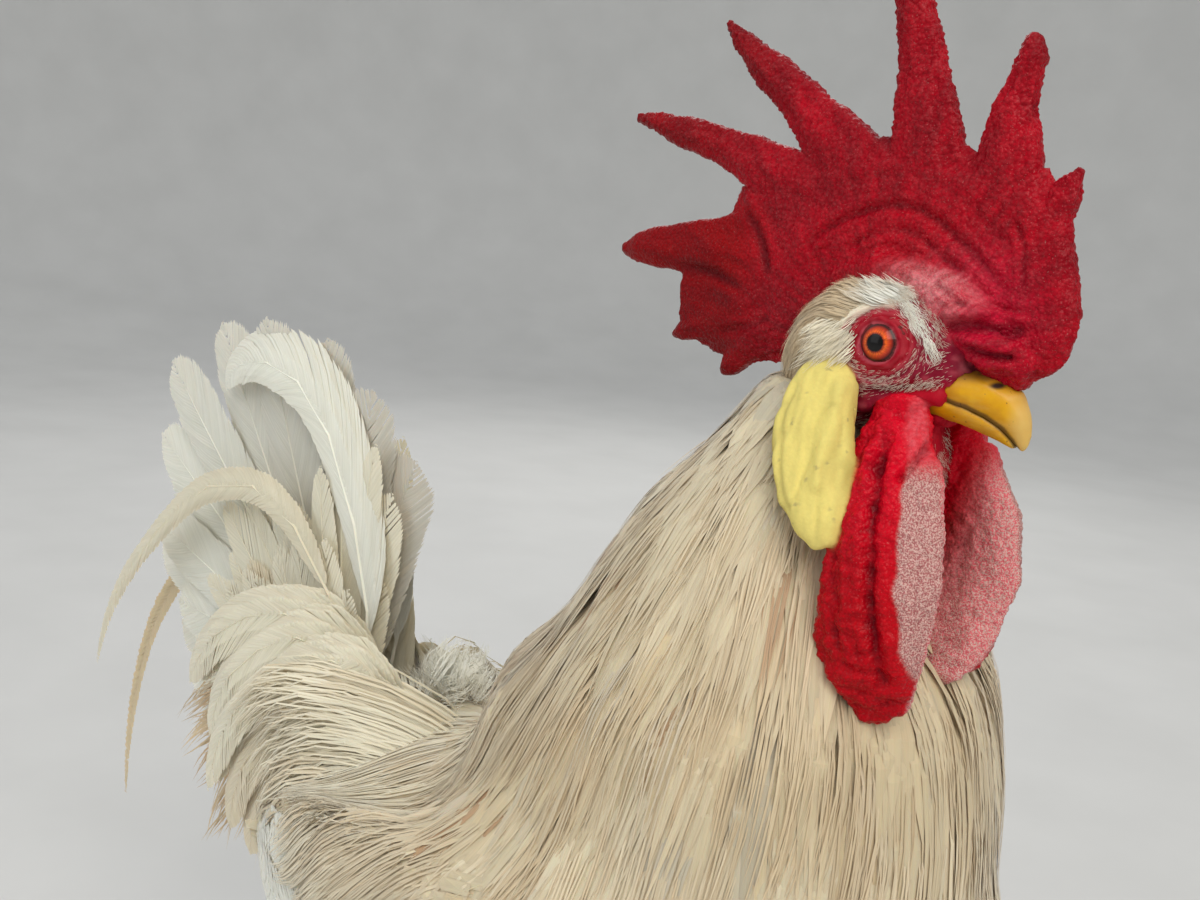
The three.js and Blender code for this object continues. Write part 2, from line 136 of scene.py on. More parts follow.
class Surface:
    """Points and polygons (all triangles or all quads) with smooth normals and a nearest-point search."""

    def __init__(self, v, f):
        self.v, self.f = v, f
        e = np.sort(np.concatenate([f[:, [i, (i + 1) % f.shape[1]]] for i in range(f.shape[1])]), axis=1)
        self.e = np.unique(e, axis=0)
        self.deg = np.maximum(np.bincount(self.e.ravel(), minlength=len(v)), 1)

    def normals(self):
        a, b, c = (self.v[self.f[:, i]] for i in range(3))
        n = np.cross(b - a, c - a)
        if self.f.shape[1] == 4:
            n = np.cross(c - a, self.v[self.f[:, 3]] - b)
        out = np.zeros_like(self.v)
        for i in range(self.f.shape[1]):
            for k in range(3):
                out[:, k] += np.bincount(self.f[:, i], n[:, k], len(self.v))
        return unit(out)

    def averaged(self, x):
        """The mean of x over each point's neighbours."""
        x2 = x.reshape(len(x), -1)
        out = np.empty_like(x2)
        a, b = self.e.T
        for k in range(x2.shape[1]):
            out[:, k] = np.bincount(a, x2[b, k], len(x2)) + np.bincount(b, x2[a, k], len(x2))
        return (out / self.deg[:, None]).reshape(x.shape)

    def smooth(self, times, weight=1.0):
        """Rounds the facets without shrinking; weight may be one number for each point."""
        w = np.asarray(weight, float)
        w = w[:, None] if w.ndim else w
        for move in ROUNDING * times:
            self.v = self.v + move * w * (self.averaged(self.v) - self.v)
        return self

    def relaxed(self, x, times):
        """x, smoothed along the surface."""
        for _ in range(times):
            x = 0.5 * x + 0.5 * self.averaged(x)
        return x

    def index(self):
        """Makes the surface ready for nearest-point searches."""
        self.tree = BVHTree.FromPolygons(self.v.tolist(), self.f.tolist())
        self.n = self.normals()
        return self

    def nearest(self, p):
        """Nearest points on the surface and the smooth normals there."""
        hits = [self.tree.find_nearest(q) for q in p.tolist()]
        where = np.array([h[0] for h in hits])
        corners = self.f[np.array([h[2] for h in hits])]
        near = 1 / (np.linalg.norm(self.v[corners] - where[:, None], axis=2) + 0.05)
        return where, unit((self.n[corners] * near[..., None]).sum(1))

    def distance(self, p):
        return np.array([self.tree.find_nearest(q)[3] for q in p.tolist()])


def read(mesh):
    """The points of a mesh."""
    v = np.empty(len(mesh.vertices) * 3)
    mesh.vertices.foreach_get("co", v)
    return v.reshape(-1, 3)


def cad(*names, grow=0.0):
    """CAD nodes as one welded triangle surface in millimetres, each moved out by grow."""
    vs, fs, base = [], [], 0
    for name in names:
        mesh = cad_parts[name].data
        mesh.calc_loop_triangles()
        f = np.empty(len(mesh.loop_triangles) * 3, int)
        mesh.loop_triangles.foreach_get("vertices", f)
        v, same = np.unique(np.round(read(mesh) * METRE, 3), axis=0, return_inverse=True)
        f = same.reshape(-1)[f].reshape(-1, 3)
        f = f[(f[:, 0] != f[:, 1]) & (f[:, 1] != f[:, 2]) & (f[:, 0] != f[:, 2])]
        if grow:
            v = v + grow * Surface(v, f).normals()
        vs.append(v)
        fs.append(f + base)
        base += len(v)
    return Surface(np.concatenate(vs), np.concatenate(fs))


def add_mesh(name, v, f, scale=1 / METRE):
    """A new object in the scene from points and polygons."""
    mesh = bpy.data.meshes.new(name)
    k = f.shape[1]
    mesh.vertices.add(len(v))
    mesh.vertices.foreach_set("co", (np.asarray(v) * scale).astype(np.float32).ravel())
    mesh.loops.add(f.size)
    mesh.loops.foreach_set("vertex_index", f.astype(np.int32).ravel())
    mesh.polygons.add(len(f))
    mesh.polygons.foreach_set("loop_start", np.arange(0, f.size, k, dtype=np.int32))
    mesh.update(calc_edges=True)
    obj = bpy.data.objects.new(name, mesh)
    bpy.context.scene.collection.objects.link(obj)
    return obj


def evaluated(obj):
    """The object's mesh with its modifiers, as points and polygons; the object is removed."""
    made = obj.evaluated_get(bpy.context.evaluated_depsgraph_get()).to_mesh()
    v = read(made)
    size = np.empty(len(made.polygons), int)
    made.polygons.foreach_get("loop_total", size)
    loops = np.empty(len(made.loops), int)
    made.loops.foreach_get("vertex_index", loops)
    if np.all(size == 4):
        f = loops.reshape(-1, 4)
    else:
        made.calc_loop_triangles()
        f = np.empty(len(made.loop_triangles) * 3, int)
        made.loop_triangles.foreach_get("vertices", f)
        f = f.reshape(-1, 3)
    mesh = obj.data
    bpy.data.objects.remove(obj)
    bpy.data.meshes.remove(mesh)
    return Surface(v, f)


def remesh(surface, voxel):
    """One even closed surface round everything in the given one."""
    obj = add_mesh("work", surface.v, surface.f, 1.0)
    mod = obj.modifiers.new("voxel", "REMESH")
    mod.mode = "VOXEL"
    mod.voxel_size = voxel
    return evaluated(obj)


def united(parts):
    """The Boolean union of closed surfaces."""
    made = [add_mesh("work", s.v, s.f, 1.0) for s in parts]
    for other in made[1:]:
        mod = made[0].modifiers.new("join", "BOOLEAN")
        mod.operation = "UNION"
        mod.solver = "MANIFOLD"
        mod.object = other
    out = evaluated(made[0])
    for other in made[1:]:
        mesh = other.data
        bpy.data.objects.remove(other)
        bpy.data.meshes.remove(mesh)
    return out


def joined(*parts):
    """Several surfaces as one, not welded."""
    base = np.cumsum([0] + [len(s.v) for s in parts])
    return Surface(
        np.concatenate([s.v for s in parts]), np.concatenate([s.f + b for s, b in zip(parts, base)])
    )


# ---------- places, from the CAD boxes ----------
def middle(node):
    """The middle of a CAD node's box."""
    lo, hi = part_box(node)
    return (np.array(lo) + np.array(hi)) / 2 * METRE


EYES = {side: middle("eye_" + side) for side in "LR"}
HEAD = (EYES["L"] + EYES["R"]) / 2
LEFT = unit(EYES["L"] - EYES["R"])
FORE = np.cross(LEFT, UP)


def along_head(d):
    """Row-frame directions in the head's frame: forward, left and up."""
    return np.stack([d @ FORE, d @ LEFT, d[:, 2]], axis=1)


def from_along_head(d):
    return d[:, :1] * FORE + d[:, 1:2] * LEFT + d[:, 2:] * UP


def to_head(p):
    """Row-frame points in the head's frame, measured from midway between the eyes."""
    return along_head(p - HEAD)


def from_head(q):
    return HEAD + q[:, :1] * FORE + q[:, 1:2] * LEFT + q[:, 2:] * UP


def tube(points, radii, across, sides=12, closed=False):
    """A surface round a line of points; across is the section's first axis, radii are (across, off)."""
    points = np.asarray(points, float)
    along = np.roll(points, -1, 0) - np.roll(points, 1, 0)
    if not closed:
        along[0], along[-1] = points[1] - points[0], points[-1] - points[-2]
    along = unit(along)
    across = np.asarray(across, float) * np.ones_like(points)
    across = square_to(across, along)
    off = np.cross(along, across)
    a = np.arange(sides) * 2 * math.pi / sides
    r = np.asarray(radii, float) * np.ones((len(points), 2))
    ring = (
        points[:, None]
        + (r[:, :1] * np.cos(a))[..., None] * across[:, None]
        + (r[:, 1:] * np.sin(a))[..., None] * off[:, None]
    )
    v = ring.reshape(-1, 3)
    rows = np.arange(len(points) if closed else len(points) - 1)[:, None] * sides
    k = np.arange(sides)
    k2 = (k + 1) % sides
    nxt = (rows + sides) % (len(points) * sides)
    quads = np.stack([rows + k, rows + k2, nxt + k2, nxt + k], axis=-1).reshape(-1, 4)
    f = triangles(quads)
    if not closed:
        v = np.concatenate([v, points[:1], points[-1:]])
        end = (len(points) - 1) * sides
        first = np.stack([np.full(sides, len(v) - 2), k2, k], axis=1)
        last = np.stack([np.full(sides, len(v) - 1), end + k, end + k2], axis=1)
        f = np.concatenate([f, first, last])
    return Surface(v, f)


# ---------- the skin of the head ----------
LID_RADIUS = 5.5  # middle of the rim of the eyelids
LID_THICK = 0.9
LID_POINTS = 48
SOCKET = 0.93  # the flesh behind an eyeball, compared with the ball
EYE_BALL = (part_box("eye_R")[1][2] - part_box("eye_R")[0][2]) / 2 * METRE  # its radius


def lid(side):
    """The thick rim that the two eyelids make round the eye."""
    out = LEFT if side == "L" else -LEFT
    a = np.linspace(0, 2 * math.pi, LID_POINTS, endpoint=False)
    wide = LID_RADIUS * (1 + 0.05 * np.cos(2 * a))
    proud = np.sqrt(EYE_BALL**2 - wide**2) + 0.3
    ring = (
        EYES[side]
        + (wide * np.cos(a))[:, None] * FORE
        + (wide * np.sin(a))[:, None] * UP
        + proud[:, None] * out
    )
    return tube(ring, (LID_THICK, LID_THICK), out, closed=True)


def socket(side):
    """Flesh behind the eyeball, so that the skin closes round it."""
    fill = cad("eye_" + side)
    fill.v = EYES[side] + (fill.v - EYES[side]) * SOCKET
    return fill


def granules(p, size, seed):
    """Round grains: 1 at the middle of each, 0 between them."""
    q = p / size
    base = np.floor(q).astype(np.int64)
    best = np.full(len(q), 9.0)
    for corner in range(27):
        c = base + np.array([corner % 3, corner // 3 % 3, corner // 9]) - 1
        jitter = np.stack([lattice(*c.T, seed + a) for a in range(3)], axis=1) * 0.36 + 0.5
        best = np.minimum(best, ((c + jitter - q) ** 2).sum(1))
    return np.clip(1 - best / 0.42, 0, 1)


def line(q, knots):
    """Signed distance in side view from a curve through (x, z) knots, and how far along it (0..1)."""
    u = np.linspace(0, 1, 16 * len(knots))
    c = spline(knots, u)
    t = np.gradient(c, axis=0)
    d = q[:, None, [0, 2]] - c[None]
    k = (d**2).sum(2).argmin(1)
    near = d[np.arange(len(q)), k]
    side = np.sign(t[k, 0] * near[:, 1] - t[k, 1] * near[:, 0])
    return side * np.linalg.norm(near, axis=1), u[k]


def crease(q, knots, depth, width, lip=0.4):
    """Height of a groove with a puffed lip on each side; a negative depth makes a ridge."""
    lo, hi = np.min(knots, axis=0) - 5 * width, np.max(knots, axis=0) + 5 * width
    near = np.all((q[:, [0, 2]] > lo) & (q[:, [0, 2]] < hi), axis=1)
    out = np.zeros(len(q))
    d, u = line(q[near], knots)
    d = np.abs(d) / width
    fade = step(u, 0, 0.14) * step(1 - u, 0, 0.14)
    out[near] = depth * fade * (lip * np.exp(-((d - 1.9) ** 2)) - np.exp(-(d**2)))
    return out


# Folds of the flesh, as seen from the side: (x, z) knots from the eye, depth, width, lip.
COMB_FOLDS = [
    (
        [(-34, 13), (-30, 22.5), (-18, 29.5), (-6.5, 32), (3, 30), (11, 25), (19, 19), (26, 12.5)],
        0.65, 1.2, 0.9,
    ),
    ([(-23, 19), (-12, 25), (-2, 26), (8, 20.5), (17, 14.5), (23, 9.5)], 0.45, 1.0, 0.8),
    ([(-24, 36), (-10, 39), (4, 37), (16, 30), (28, 19)], 0.3, 1.2, 0.6),
    ([(-4, 21), (5, 17), (13, 12), (20, 8.6)], 0.45, 0.7, 0.6),
    ([(10, 9.4), (17, 10.6), (25, 10.4), (31, 10.6)], 0.5, 0.8, 0.8),
    ([(12.5, 4.8), (18, 6.0), (24, 6.0), (30, 5.6)], 2.6, 1.5, 0.45),
    ([(17.5, 1.6), (23, 0.4), (29, 0.2)], 1.7, 0.95, 0.6),
    ([(12, 2.4), (16, 2.6), (19, 0.4)], 0.6, 0.6, 0.6),
    ([(24, 30), (27, 23), (28, 15)], 0.6, 0.9, 0.5),
    ([(-62, 34), (-50, 24), (-44, 12)], 0.8, 1.6, 0.4),
    ([(-78, 12), (-66, 12), (-52, 8)], 0.7, 1.5, 0.5),
    ([(-60, -4), (-50, -2), (-42, 2)], 0.6, 1.2, 0.5),
]
FACE_FOLDS = [
    ([(18.6, -2.8), (22, -4.4), (26, -6)], 1.5, 0.65, 0.5),
    ([(15.5, -10.5), (8, -12.2), (0, -14.2), (-7, -15.6)], -1.7, 1.5, 0.3),
    ([(14, -8.4), (7, -9.8), (-1, -11)], 0.5, 0.7, 0.4),
    ([(13, -12.5), (11.5, -19), (9.5, -27), (8, -34)], -1.0, 1.5, 0.35),
    ([(17, -13), (17.5, -20), (18, -28), (20, -36)], -0.8, 1.2, 0.35),
    ([(-6, -18), (2, -20), (9, -20)], 0.6, 1.0, 0.4),
]
WATTLE_FOLDS = [
    ([(5, -19), (7.5, -28), (9.5, -39), (13, -55), (16, -68), (18, -78)], 1.7, 1.5, 0.4),
    ([(-1, -30), (2, -44), (5, -58), (7, -72)], 0.8, 1.3, 0.5),
    ([(20, -36), (22, -48), (24, -60), (23, -72)], 0.6, 1.4, 0.5),
    ([(15.5, -15), (15, -23), (12.5, -31)], 1.5, 0.9, 0.5),
    ([(3, -18), (1, -30), (1, -46), (3, -60)], 0.7, 1.1, 0.6),
    ([(0, -74), (6, -82), (14, -84), (20, -80)], 0.9, 1.3, 0.5),
    ([(3, -60), (7, -70), (12, -76)], 0.7, 1.1, 0.5),
]
LOBE_FOLDS = [
    ([(-6, -8), (-4.5, -17), (-4.5, -27), (-3, -36)], -1.3, 1.7, 0.3),
    ([(-16, -10), (-16.5, -20), (-14, -32), (-9, -42)], 0.6, 0.9, 0.5),
    ([(-12, -8), (-12, -18), (-10, -30)], 0.25, 0.7, 0.5),
]
# Where the pale band down the front of a wattle begins: (z, x) from the eye.
WATTLE_GROOVE = [
    (-92, 26), (-84, 25), (-76, 22.4), (-68, 20.4), (-55, 18.2), (-39, 15.2), (-28, 12), (-14, 8),
]

# ---------- colours of the bare skin, linear ----------
RED = np.array([0.42, 0.001, 0.011])
# a deeper red: real darker patches, and painted shade in folds, creases and between grains
DEEP_RED_AND_SHADE = np.array([0.10, 0.0008, 0.004])
RED_REAR = np.array([0.27, 0.001, 0.003])
ROSE = np.array([0.56, 0.007, 0.040])
PINK = np.array([0.72, 0.16, 0.19])
BLOOM = np.array([0.66, 0.43, 0.38])
CHEEK = np.array([0.22, 0.006, 0.024])
BAND = np.array([0.36, 0.12, 0.12])
SMUDGE = np.array([0.05, 0.02, 0.024])
LOBE = np.array([0.80, 0.67, 0.20])
LOBE_RIM = np.array([0.40, 0.30, 0.07])
LOBE_SPOT = np.array([0.16, 0.14, 0.10])
DOWN = np.array([0.80, 0.72, 0.56])


def plain(colour, count):
    """The same colour for each of count rows."""
    return np.tile(colour, (count, 1))


def mix(a, b, w):
    """Colours a drawn towards b by w, one amount or one for each row."""
    return a + (b - a) * np.broadcast_to(np.clip(w, 0, 1), (len(a),))[:, None]


def crown_line(q):
    """Above 0 where the head carries feathers: crown and nape, behind a slanting line over the eye."""
    x, z = q[:, 0], q[:, 2]
    brow = curve(x, (-40, -40), (-19, -8), (-13, -1.5), (-9, 5.0), (-4, 8.6), (1, 9.4), (5, 13), (8, 30))
    return z - brow


def folded(q, folds, weight):
    """Height of all the creases in a list; weight is how far each point takes part in them."""
    return sum(weight * crease(q, *fold) for fold in folds)


class HeadSkin:
    """Relief and colours of the head's skin at points q with normals n, both in the head's frame."""

    def __init__(self, q, n, part):
        self.q, self.part = q, part
        self.x, self.z = q[:, 0], q[:, 2]
        self.aside = np.abs(q[:, 1])
        self.both = np.stack([self.x, self.aside, self.z], axis=1)  # the same on either side
        self.outer = step(n[:, 1] * np.sign(q[:, 1]), -0.2, 0.3)
        self.ring = np.hypot(self.x, self.z * 1.06)
        self.wrinkle = np.cos((self.ring + 0.35 * noise(self.both, 1.8, 5)) * 5.0)
        self.rear = step(-self.x, 38, 60) * step(34 - self.z, -4, 10)  # the comb's smooth blade
        self.grain = granules(q, 1.35, 11)
        self.fine = granules(q, 0.95, 12)
        turn = np.arctan2(self.z + 6, self.x + 4)
        reach = np.hypot(self.x + 4, self.z + 6)
        self.outward = noise(np.stack([turn * 26, 0.3 * self.aside, reach / 11], 1), 1.0, 27)
        self.groove = curve(self.z, *WATTLE_GROOVE)
        self.crinkle = noise(q, (1.6, 3, 7), 51) + 0.5 * noise(q, (0.9, 2, 3), 52)
        self.veins = np.clip(1 - 5 * np.abs(noise(q, (5, 6, 11), 53)), 0, 1)
        self.comb_folds = folded(q, COMB_FOLDS, part["comb"] * step(self.aside, 1.5, 3.0))
        self.face_folds = folded(q, FACE_FOLDS, part["head"] + 0.7 * part["wattle"])
        self.height = self.eye_rings() + self.comb() + self.wattles() + self.bare_face() + self.lobes()

    def eye_rings(self):
        """The folds round the eyelids; the next four are the heights of the head's other parts."""
        rings = (0.30 * np.cos((self.ring - 7.6) * 2.1) + 0.16 * self.wrinkle) * bump(self.ring, 9.0, 4.4)
        return rings * self.part["head"] * step(self.aside, 9, 12)

    def comb(self):
        """Coarse grains and folds, smoother on the blade behind."""
        rough = 0.36 * (1 - 0.65 * self.rear) + 0.22 * step(self.z, 36, 60)
        granular = rough * self.grain + 0.2 * self.fine + 0.28 * noise(self.q, 3.2, 23) * (1 - self.rear)
        uneven = 0.8 * fbm(self.q, 11, 2, 21) + 0.9 * self.rear * noise(self.q, (16, 9, 9), 25)
        return self.part["comb"] * (granular + uneven + 0.25 * self.outward) + self.comb_folds

    def wattles(self):
        behind = self.groove - self.x
        granular = 0.45 * self.grain + 0.2 * self.fine
        granular = granular + 0.75 * noise(self.q, (2.8, 3, 2.6), 32) * step(behind, -2, 2)
        wrinkled = 0.55 * noise(self.q, (6, 8, 2.0), 33) * step(behind, 0, 4)
        uneven = 0.6 * noise(self.q, (4.5, 6, 15), 31) + 0.9 * step(-self.z, 62, 84)
        folds = folded(self.q, WATTLE_FOLDS, self.part["wattle"] * self.outer)
        return self.part["wattle"] * (granular + wrinkled + uneven) + folds

    def bare_face(self):
        bare = self.part["head"] * (1 - step(crown_line(self.q), -1.5, 1.5))
        rough = 0.30 * noise(self.both, (1.4, 2, 1.0), 41) + 0.26 * noise(self.both, 2.6, 42)
        return bare * (rough + 0.16 * self.fine) + self.face_folds

    def lobes(self):
        lobe = self.part["earlobe"]
        return lobe * (0.30 * self.crinkle - 0.34 * self.veins) + folded(self.q, LOBE_FOLDS, lobe)

    def comb_stipple(self):
        """A heart-shaped pale patch on the comb's front, over the eye."""
        heart = np.hypot((self.x - 7) / 1.5, (self.z - 13.5) / 0.9)
        return np.clip(1.25 - heart / 9.5, 0, 1) * step(self.aside, 4, 7) * step(self.z, 3.5, 7.5)

    def red(self):
        """The comb's colour, from which the wattles' is made, with painted shade in its folds and a painted
        highlight on its grains.
        """
        x, z, comb = self.x, self.z, self.part["comb"]
        tips = step(np.hypot(x + 5, z - 20), 45, 85)
        red = mix(plain(RED, len(x)), RED_REAR, np.maximum(self.rear, 0.75 * tips))
        # painted shade: darker red in the folds and wherever the relief sinks
        red = mix(red, DEEP_RED_AND_SHADE, np.clip(-self.height * 0.45 - self.comb_folds * 0.5, 0, 0.85))
        front = bump(np.hypot(x - 17, (z - 9) * 1.1), 0, 24)
        red = mix(red, ROSE, 0.7 * comb * step(self.aside, 1.5, 3.0) * front)
        red = mix(red, DEEP_RED_AND_SHADE, comb * (0.22 + 0.30 * self.outward + 0.25 * fbm(self.q, 18, 2, 28)))
        # painted highlight: a touch of pink on the tops of the grains
        red = mix(red, PINK, 0.05 * comb * self.grain**2 * (1 - self.rear))
        slant = np.stack([x * 0.9 - z * 0.75, self.aside * 0.3, (x * 0.75 + z * 0.9) * 0.28], 1)
        lines = 0.5 + 0.5 * noise(slant, 0.8, 61)
        return mix(red, PINK, comb * self.comb_stipple() * (0.30 + 0.75 * step(lines, 0.25, 0.8)))

    def cheek(self):
        """The bare face: rings round the eye, red below it, painted shade in its creases, a smudge at the
        nostril, down on the crown.
        """
        x, z, ring = self.x, self.z, self.ring
        cheek = mix(plain(CHEEK, len(x)), PINK, 0.30 * step(noise(self.both, 1.6, 62), 0, 0.8))
        cheek = mix(cheek, RED, 0.8 * step(x, 2, 9) * step(-z, 6, 10))
        cheek = mix(cheek, RED * 0.8, 0.8 * bump(ring, 6.5, 3.0))
        pale_rings = 0.4 * bump(ring, 4.9, 0.7) + (0.12 + 0.16 * self.wrinkle) * bump(ring, 8.5, 3.8)
        cheek = mix(cheek, PINK, pale_rings)
        # painted shade: darker in the face's creases and folds
        cheek = mix(cheek, DEEP_RED_AND_SHADE, np.clip(-self.height * 0.5 - self.face_folds * 0.4, 0, 0.8))
        smudge = bump(np.hypot((x - 21.5) / 2.2, z + 3.2) / 3.2, 0, 1)
        cheek = mix(cheek, SMUDGE, 0.9 * smudge)
        feathered = step(crown_line(self.q), -2, 1)[:, None]
        return cheek * (1 - feathered) + DOWN * feathered

    def wattle_zones(self):
        """How far past the groove, in the pale band in front of it, and on the inner side a point lies."""
        ragged = self.x - self.groove + 0.9 * noise(self.q, (3, 3, 4.5), 66)
        band = step(ragged, 0.4, 1.5) * step(-self.z, 24, 31) * self.outer
        border = curve(self.z, (-85, -4), (-50, 4), (-15, 16))
        return ragged, band, (1 - self.outer) * step(self.x - border, 0, 12)

    def wattle_red(self, red):
        """Rosier than the comb, with the pale band down the front of the outer side and painted shade between
        the grains behind the groove.
        """
        ragged, band, inner = self.wattle_zones()
        rosy = mix(red * 1.5, PINK, 0.75 * inner * step(-self.z, 12, 30))
        above = step(ragged, 0, 2) * step(30 + self.z, 0, 6) * self.outer
        rosy = mix(rosy, PINK, 0.5 * above * (0.4 + 0.6 * self.grain))
        # painted shade: darker red between the grains behind the groove
        rosy = mix(rosy, DEEP_RED_AND_SHADE, 0.3 * step(self.groove - self.x, 1, 5) * (1 - self.grain))
        return mix(rosy, BAND, band * 0.95)

    def lobe_yellow(self):
        """Pale yellow with a duller rim and a few dark spots."""
        dull = 0.35 + 0.35 * self.crinkle + 0.5 * self.veins
        pale = mix(plain(LOBE, len(self.x)), LOBE * 0.80, dull)
        half = curve(self.z, (-50, 3), (-40, 8), (-25, 10), (-8, 8), (-3, 3))
        centre = curve(self.z, (-50, -1), (-41, -4), (-31, -8), (-19, -10.5), (-9, -11.5), (-3, -12))
        pale = mix(pale, LOBE_RIM, 0.6 * step(np.abs(self.x - centre) / half, 0.86, 1.04))
        return mix(pale, LOBE_SPOT, 0.45 * step(noise(self.q, 1.5, 67), 0.72, 0.85))

    def colour(self):
        """Each part's own colour, blended where parts meet."""
        red = self.red()
        tones = {"comb": red, "wattle": self.wattle_red(red), "earlobe": self.lobe_yellow()}
        tones["head"] = self.cheek()
        total = np.maximum(sum(self.part[k] for k in tones), 1e-6)[:, None]
        return sum(self.part[k][:, None] * tone for k, tone in tones.items()) / total

    def bloom(self):
        """How much pale stipple lies on the skin."""
        _, band, inner = self.wattle_zones()
        edge = step(self.x - curve(self.z, (-92, 2), (-75, 11), (-50, 17), (-25, 19)), -7, 6)
        wattle = self.part["wattle"] * np.clip(0.95 * band + inner * (0.25 + 0.75 * edge), 0, 1)
        grains = 0.03 * (1 - self.rear) * step(self.grain, 0.4, 0.9)
        comb = self.part["comb"] * (grains + 0.4 * np.clip(self.comb_stipple() - 0.2, 0, 1))
        return np.clip(wattle + comb, 0, 1)


HEAD_PARTS = {
    "head": ["head"],
    "comb": ["comb"],
    "wattle": ["wattle_L", "wattle_R"],
    "earlobe": ["earlobe_L", "earlobe_R"],
}
HEAD_NODES = [node for nodes in HEAD_PARTS.values() for node in nodes]
BLENDING = 0.35  # how far, in millimetres, one part of the head runs into the next
TRAILING = -11.0 * FORE - 2.5 * UP  # how far the left wattle's lower rear edge is moved back and down


def head_flesh(voxel=0.6):
    """The head's surface with the colour, the share of each part and the bloom at each of its points."""
    round_eyes = [make(side) for side in "LR" for make in (lid, socket)]
    made = remesh(joined(cad(*HEAD_NODES, grow=0.35), *round_eyes), voxel).smooth(10)
    far = {name: cad(*nodes).index().distance(made.v) for name, nodes in HEAD_PARTS.items()}
    weight = {name: np.exp(-d / BLENDING) + 1e-9 for name, d in far.items()}
    total = sum(weight.values())
    part = {name: made.relaxed(w / total, 2) for name, w in weight.items()}
    made.smooth(40, np.clip(1 - part["comb"], 0, 1) ** 2)
    for name, times, regain in (("earlobe", 30, 0.9), ("wattle", 6, 0.35)):
        rounded = made.relaxed(made.v, times) + regain * made.normals()
        made.v = made.v + part[name][:, None] * (rounded - made.v)
    normals = made.relaxed(made.normals(), 4)
    flesh = HeadSkin(to_head(made.v), along_head(normals), part)
    made.v = made.v + flesh.height[:, None] * unit(normals)
    q = to_head(made.v)
    edge = part["wattle"] * (q[:, 1] > 0) * step(-q[:, 2], 46, 78) * step(12 - q[:, 0], -8, 6)
    made.v = made.v + edge[:, None] * TRAILING
    return made, flesh.colour(), part, flesh.bloom()


# ---------- materials ----------
class Look:
    """A procedural material on a Principled shader, with short calls for its nodes."""

    def __init__(self, name, **values):
        self.material = bpy.data.materials.new(name)
        self.material.use_nodes = True
        self.nodes = self.material.node_tree.nodes
        self.links = self.material.node_tree.links
        self.shader = self.nodes["Principled BSDF"]
        for key, value in values.items():
            self.shader.inputs[key.replace("_", " ")].default_value = value

    def add(self, kind, settings=None, **inputs):
        """A new node; inputs are given by name, or by number as i0, i1 and so on."""
        node = self.nodes.new("ShaderNode" + kind)
        for key, value in (settings or {}).items():
            setattr(node, key, value)
        for key, value in inputs.items():
            numbered = key[0] == "i" and key[1:].isdigit()
            socket = node.inputs[int(key[1:]) if numbered else key]
            if isinstance(value, bpy.types.NodeSocket):
                self.links.new(value, socket)
            else:
                socket.default_value = value
        return node

    def place(self):
        """Where a point lies, in metres."""
        return self.add("TexCoord").outputs["Object"]

    def attribute(self, name, output="Fac"):
        return self.add("Attribute", {"attribute_name": name}).outputs[output]

    def noise(self, scale, detail, vector=None, stretch=None):
        vector = vector or self.place()
        if stretch:
            vector = self.add("Mapping", Vector=vector, Scale=stretch).outputs[0]
        return self.add("TexNoise", Vector=vector, Scale=scale, Detail=detail).outputs["Fac"]

    def grains(self, scale):
        return self.add("TexVoronoi", Vector=self.place(), Scale=scale).outputs["Distance"]

    def math(self, operation, a, b, clamp=False):
        return self.add("Math", {"operation": operation, "use_clamp": clamp}, i0=a, i1=b).outputs[0]

    def times(self, a, b, clamp=False):
        return self.math("MULTIPLY", a, b, clamp)

    def plus(self, a, b):
        return self.math("ADD", a, b)

    def minus(self, a, b):
        return self.math("SUBTRACT", a, b)

    def span(self, value, lo, hi, to_lo=0.0, to_hi=1.0):
        """The value with lo..hi spread over to_lo..to_hi."""
        inputs = {"Value": value, "From Min": lo, "From Max": hi, "To Min": to_lo, "To Max": to_hi}
        return self.add("MapRange", **inputs).outputs[0]

    def blend(self, amount, a, b, kind="MIX"):
        settings = {"data_type": "RGBA", "blend_type": kind}
        return self.add("Mix", settings, i0=amount, i6=a, i7=b).outputs[2]

    def shaded(self, colour, shade, blue=None):
        """The colour times a shade of grey, or one whose blue is another."""
        tint = self.add("CombineColor", Red=shade, Green=shade, Blue=blue or shade).outputs[0]
        return self.blend(1.0, colour, tint, "MULTIPLY")

    def bump(self, height, distance, strength, normal=None):
        extra = {"Normal": normal} if normal else {}
        return self.add("Bump", Height=height, Distance=distance, Strength=strength, **extra).outputs[0]

    def feed(self, **sockets):
        """Links values to the shader and returns the finished material."""
        for key, value in sockets.items():
            self.links.new(value, self.shader.inputs[key.replace("_", " ")])
        return self.material


def rgb(*c):
    return (*c, 1.0)


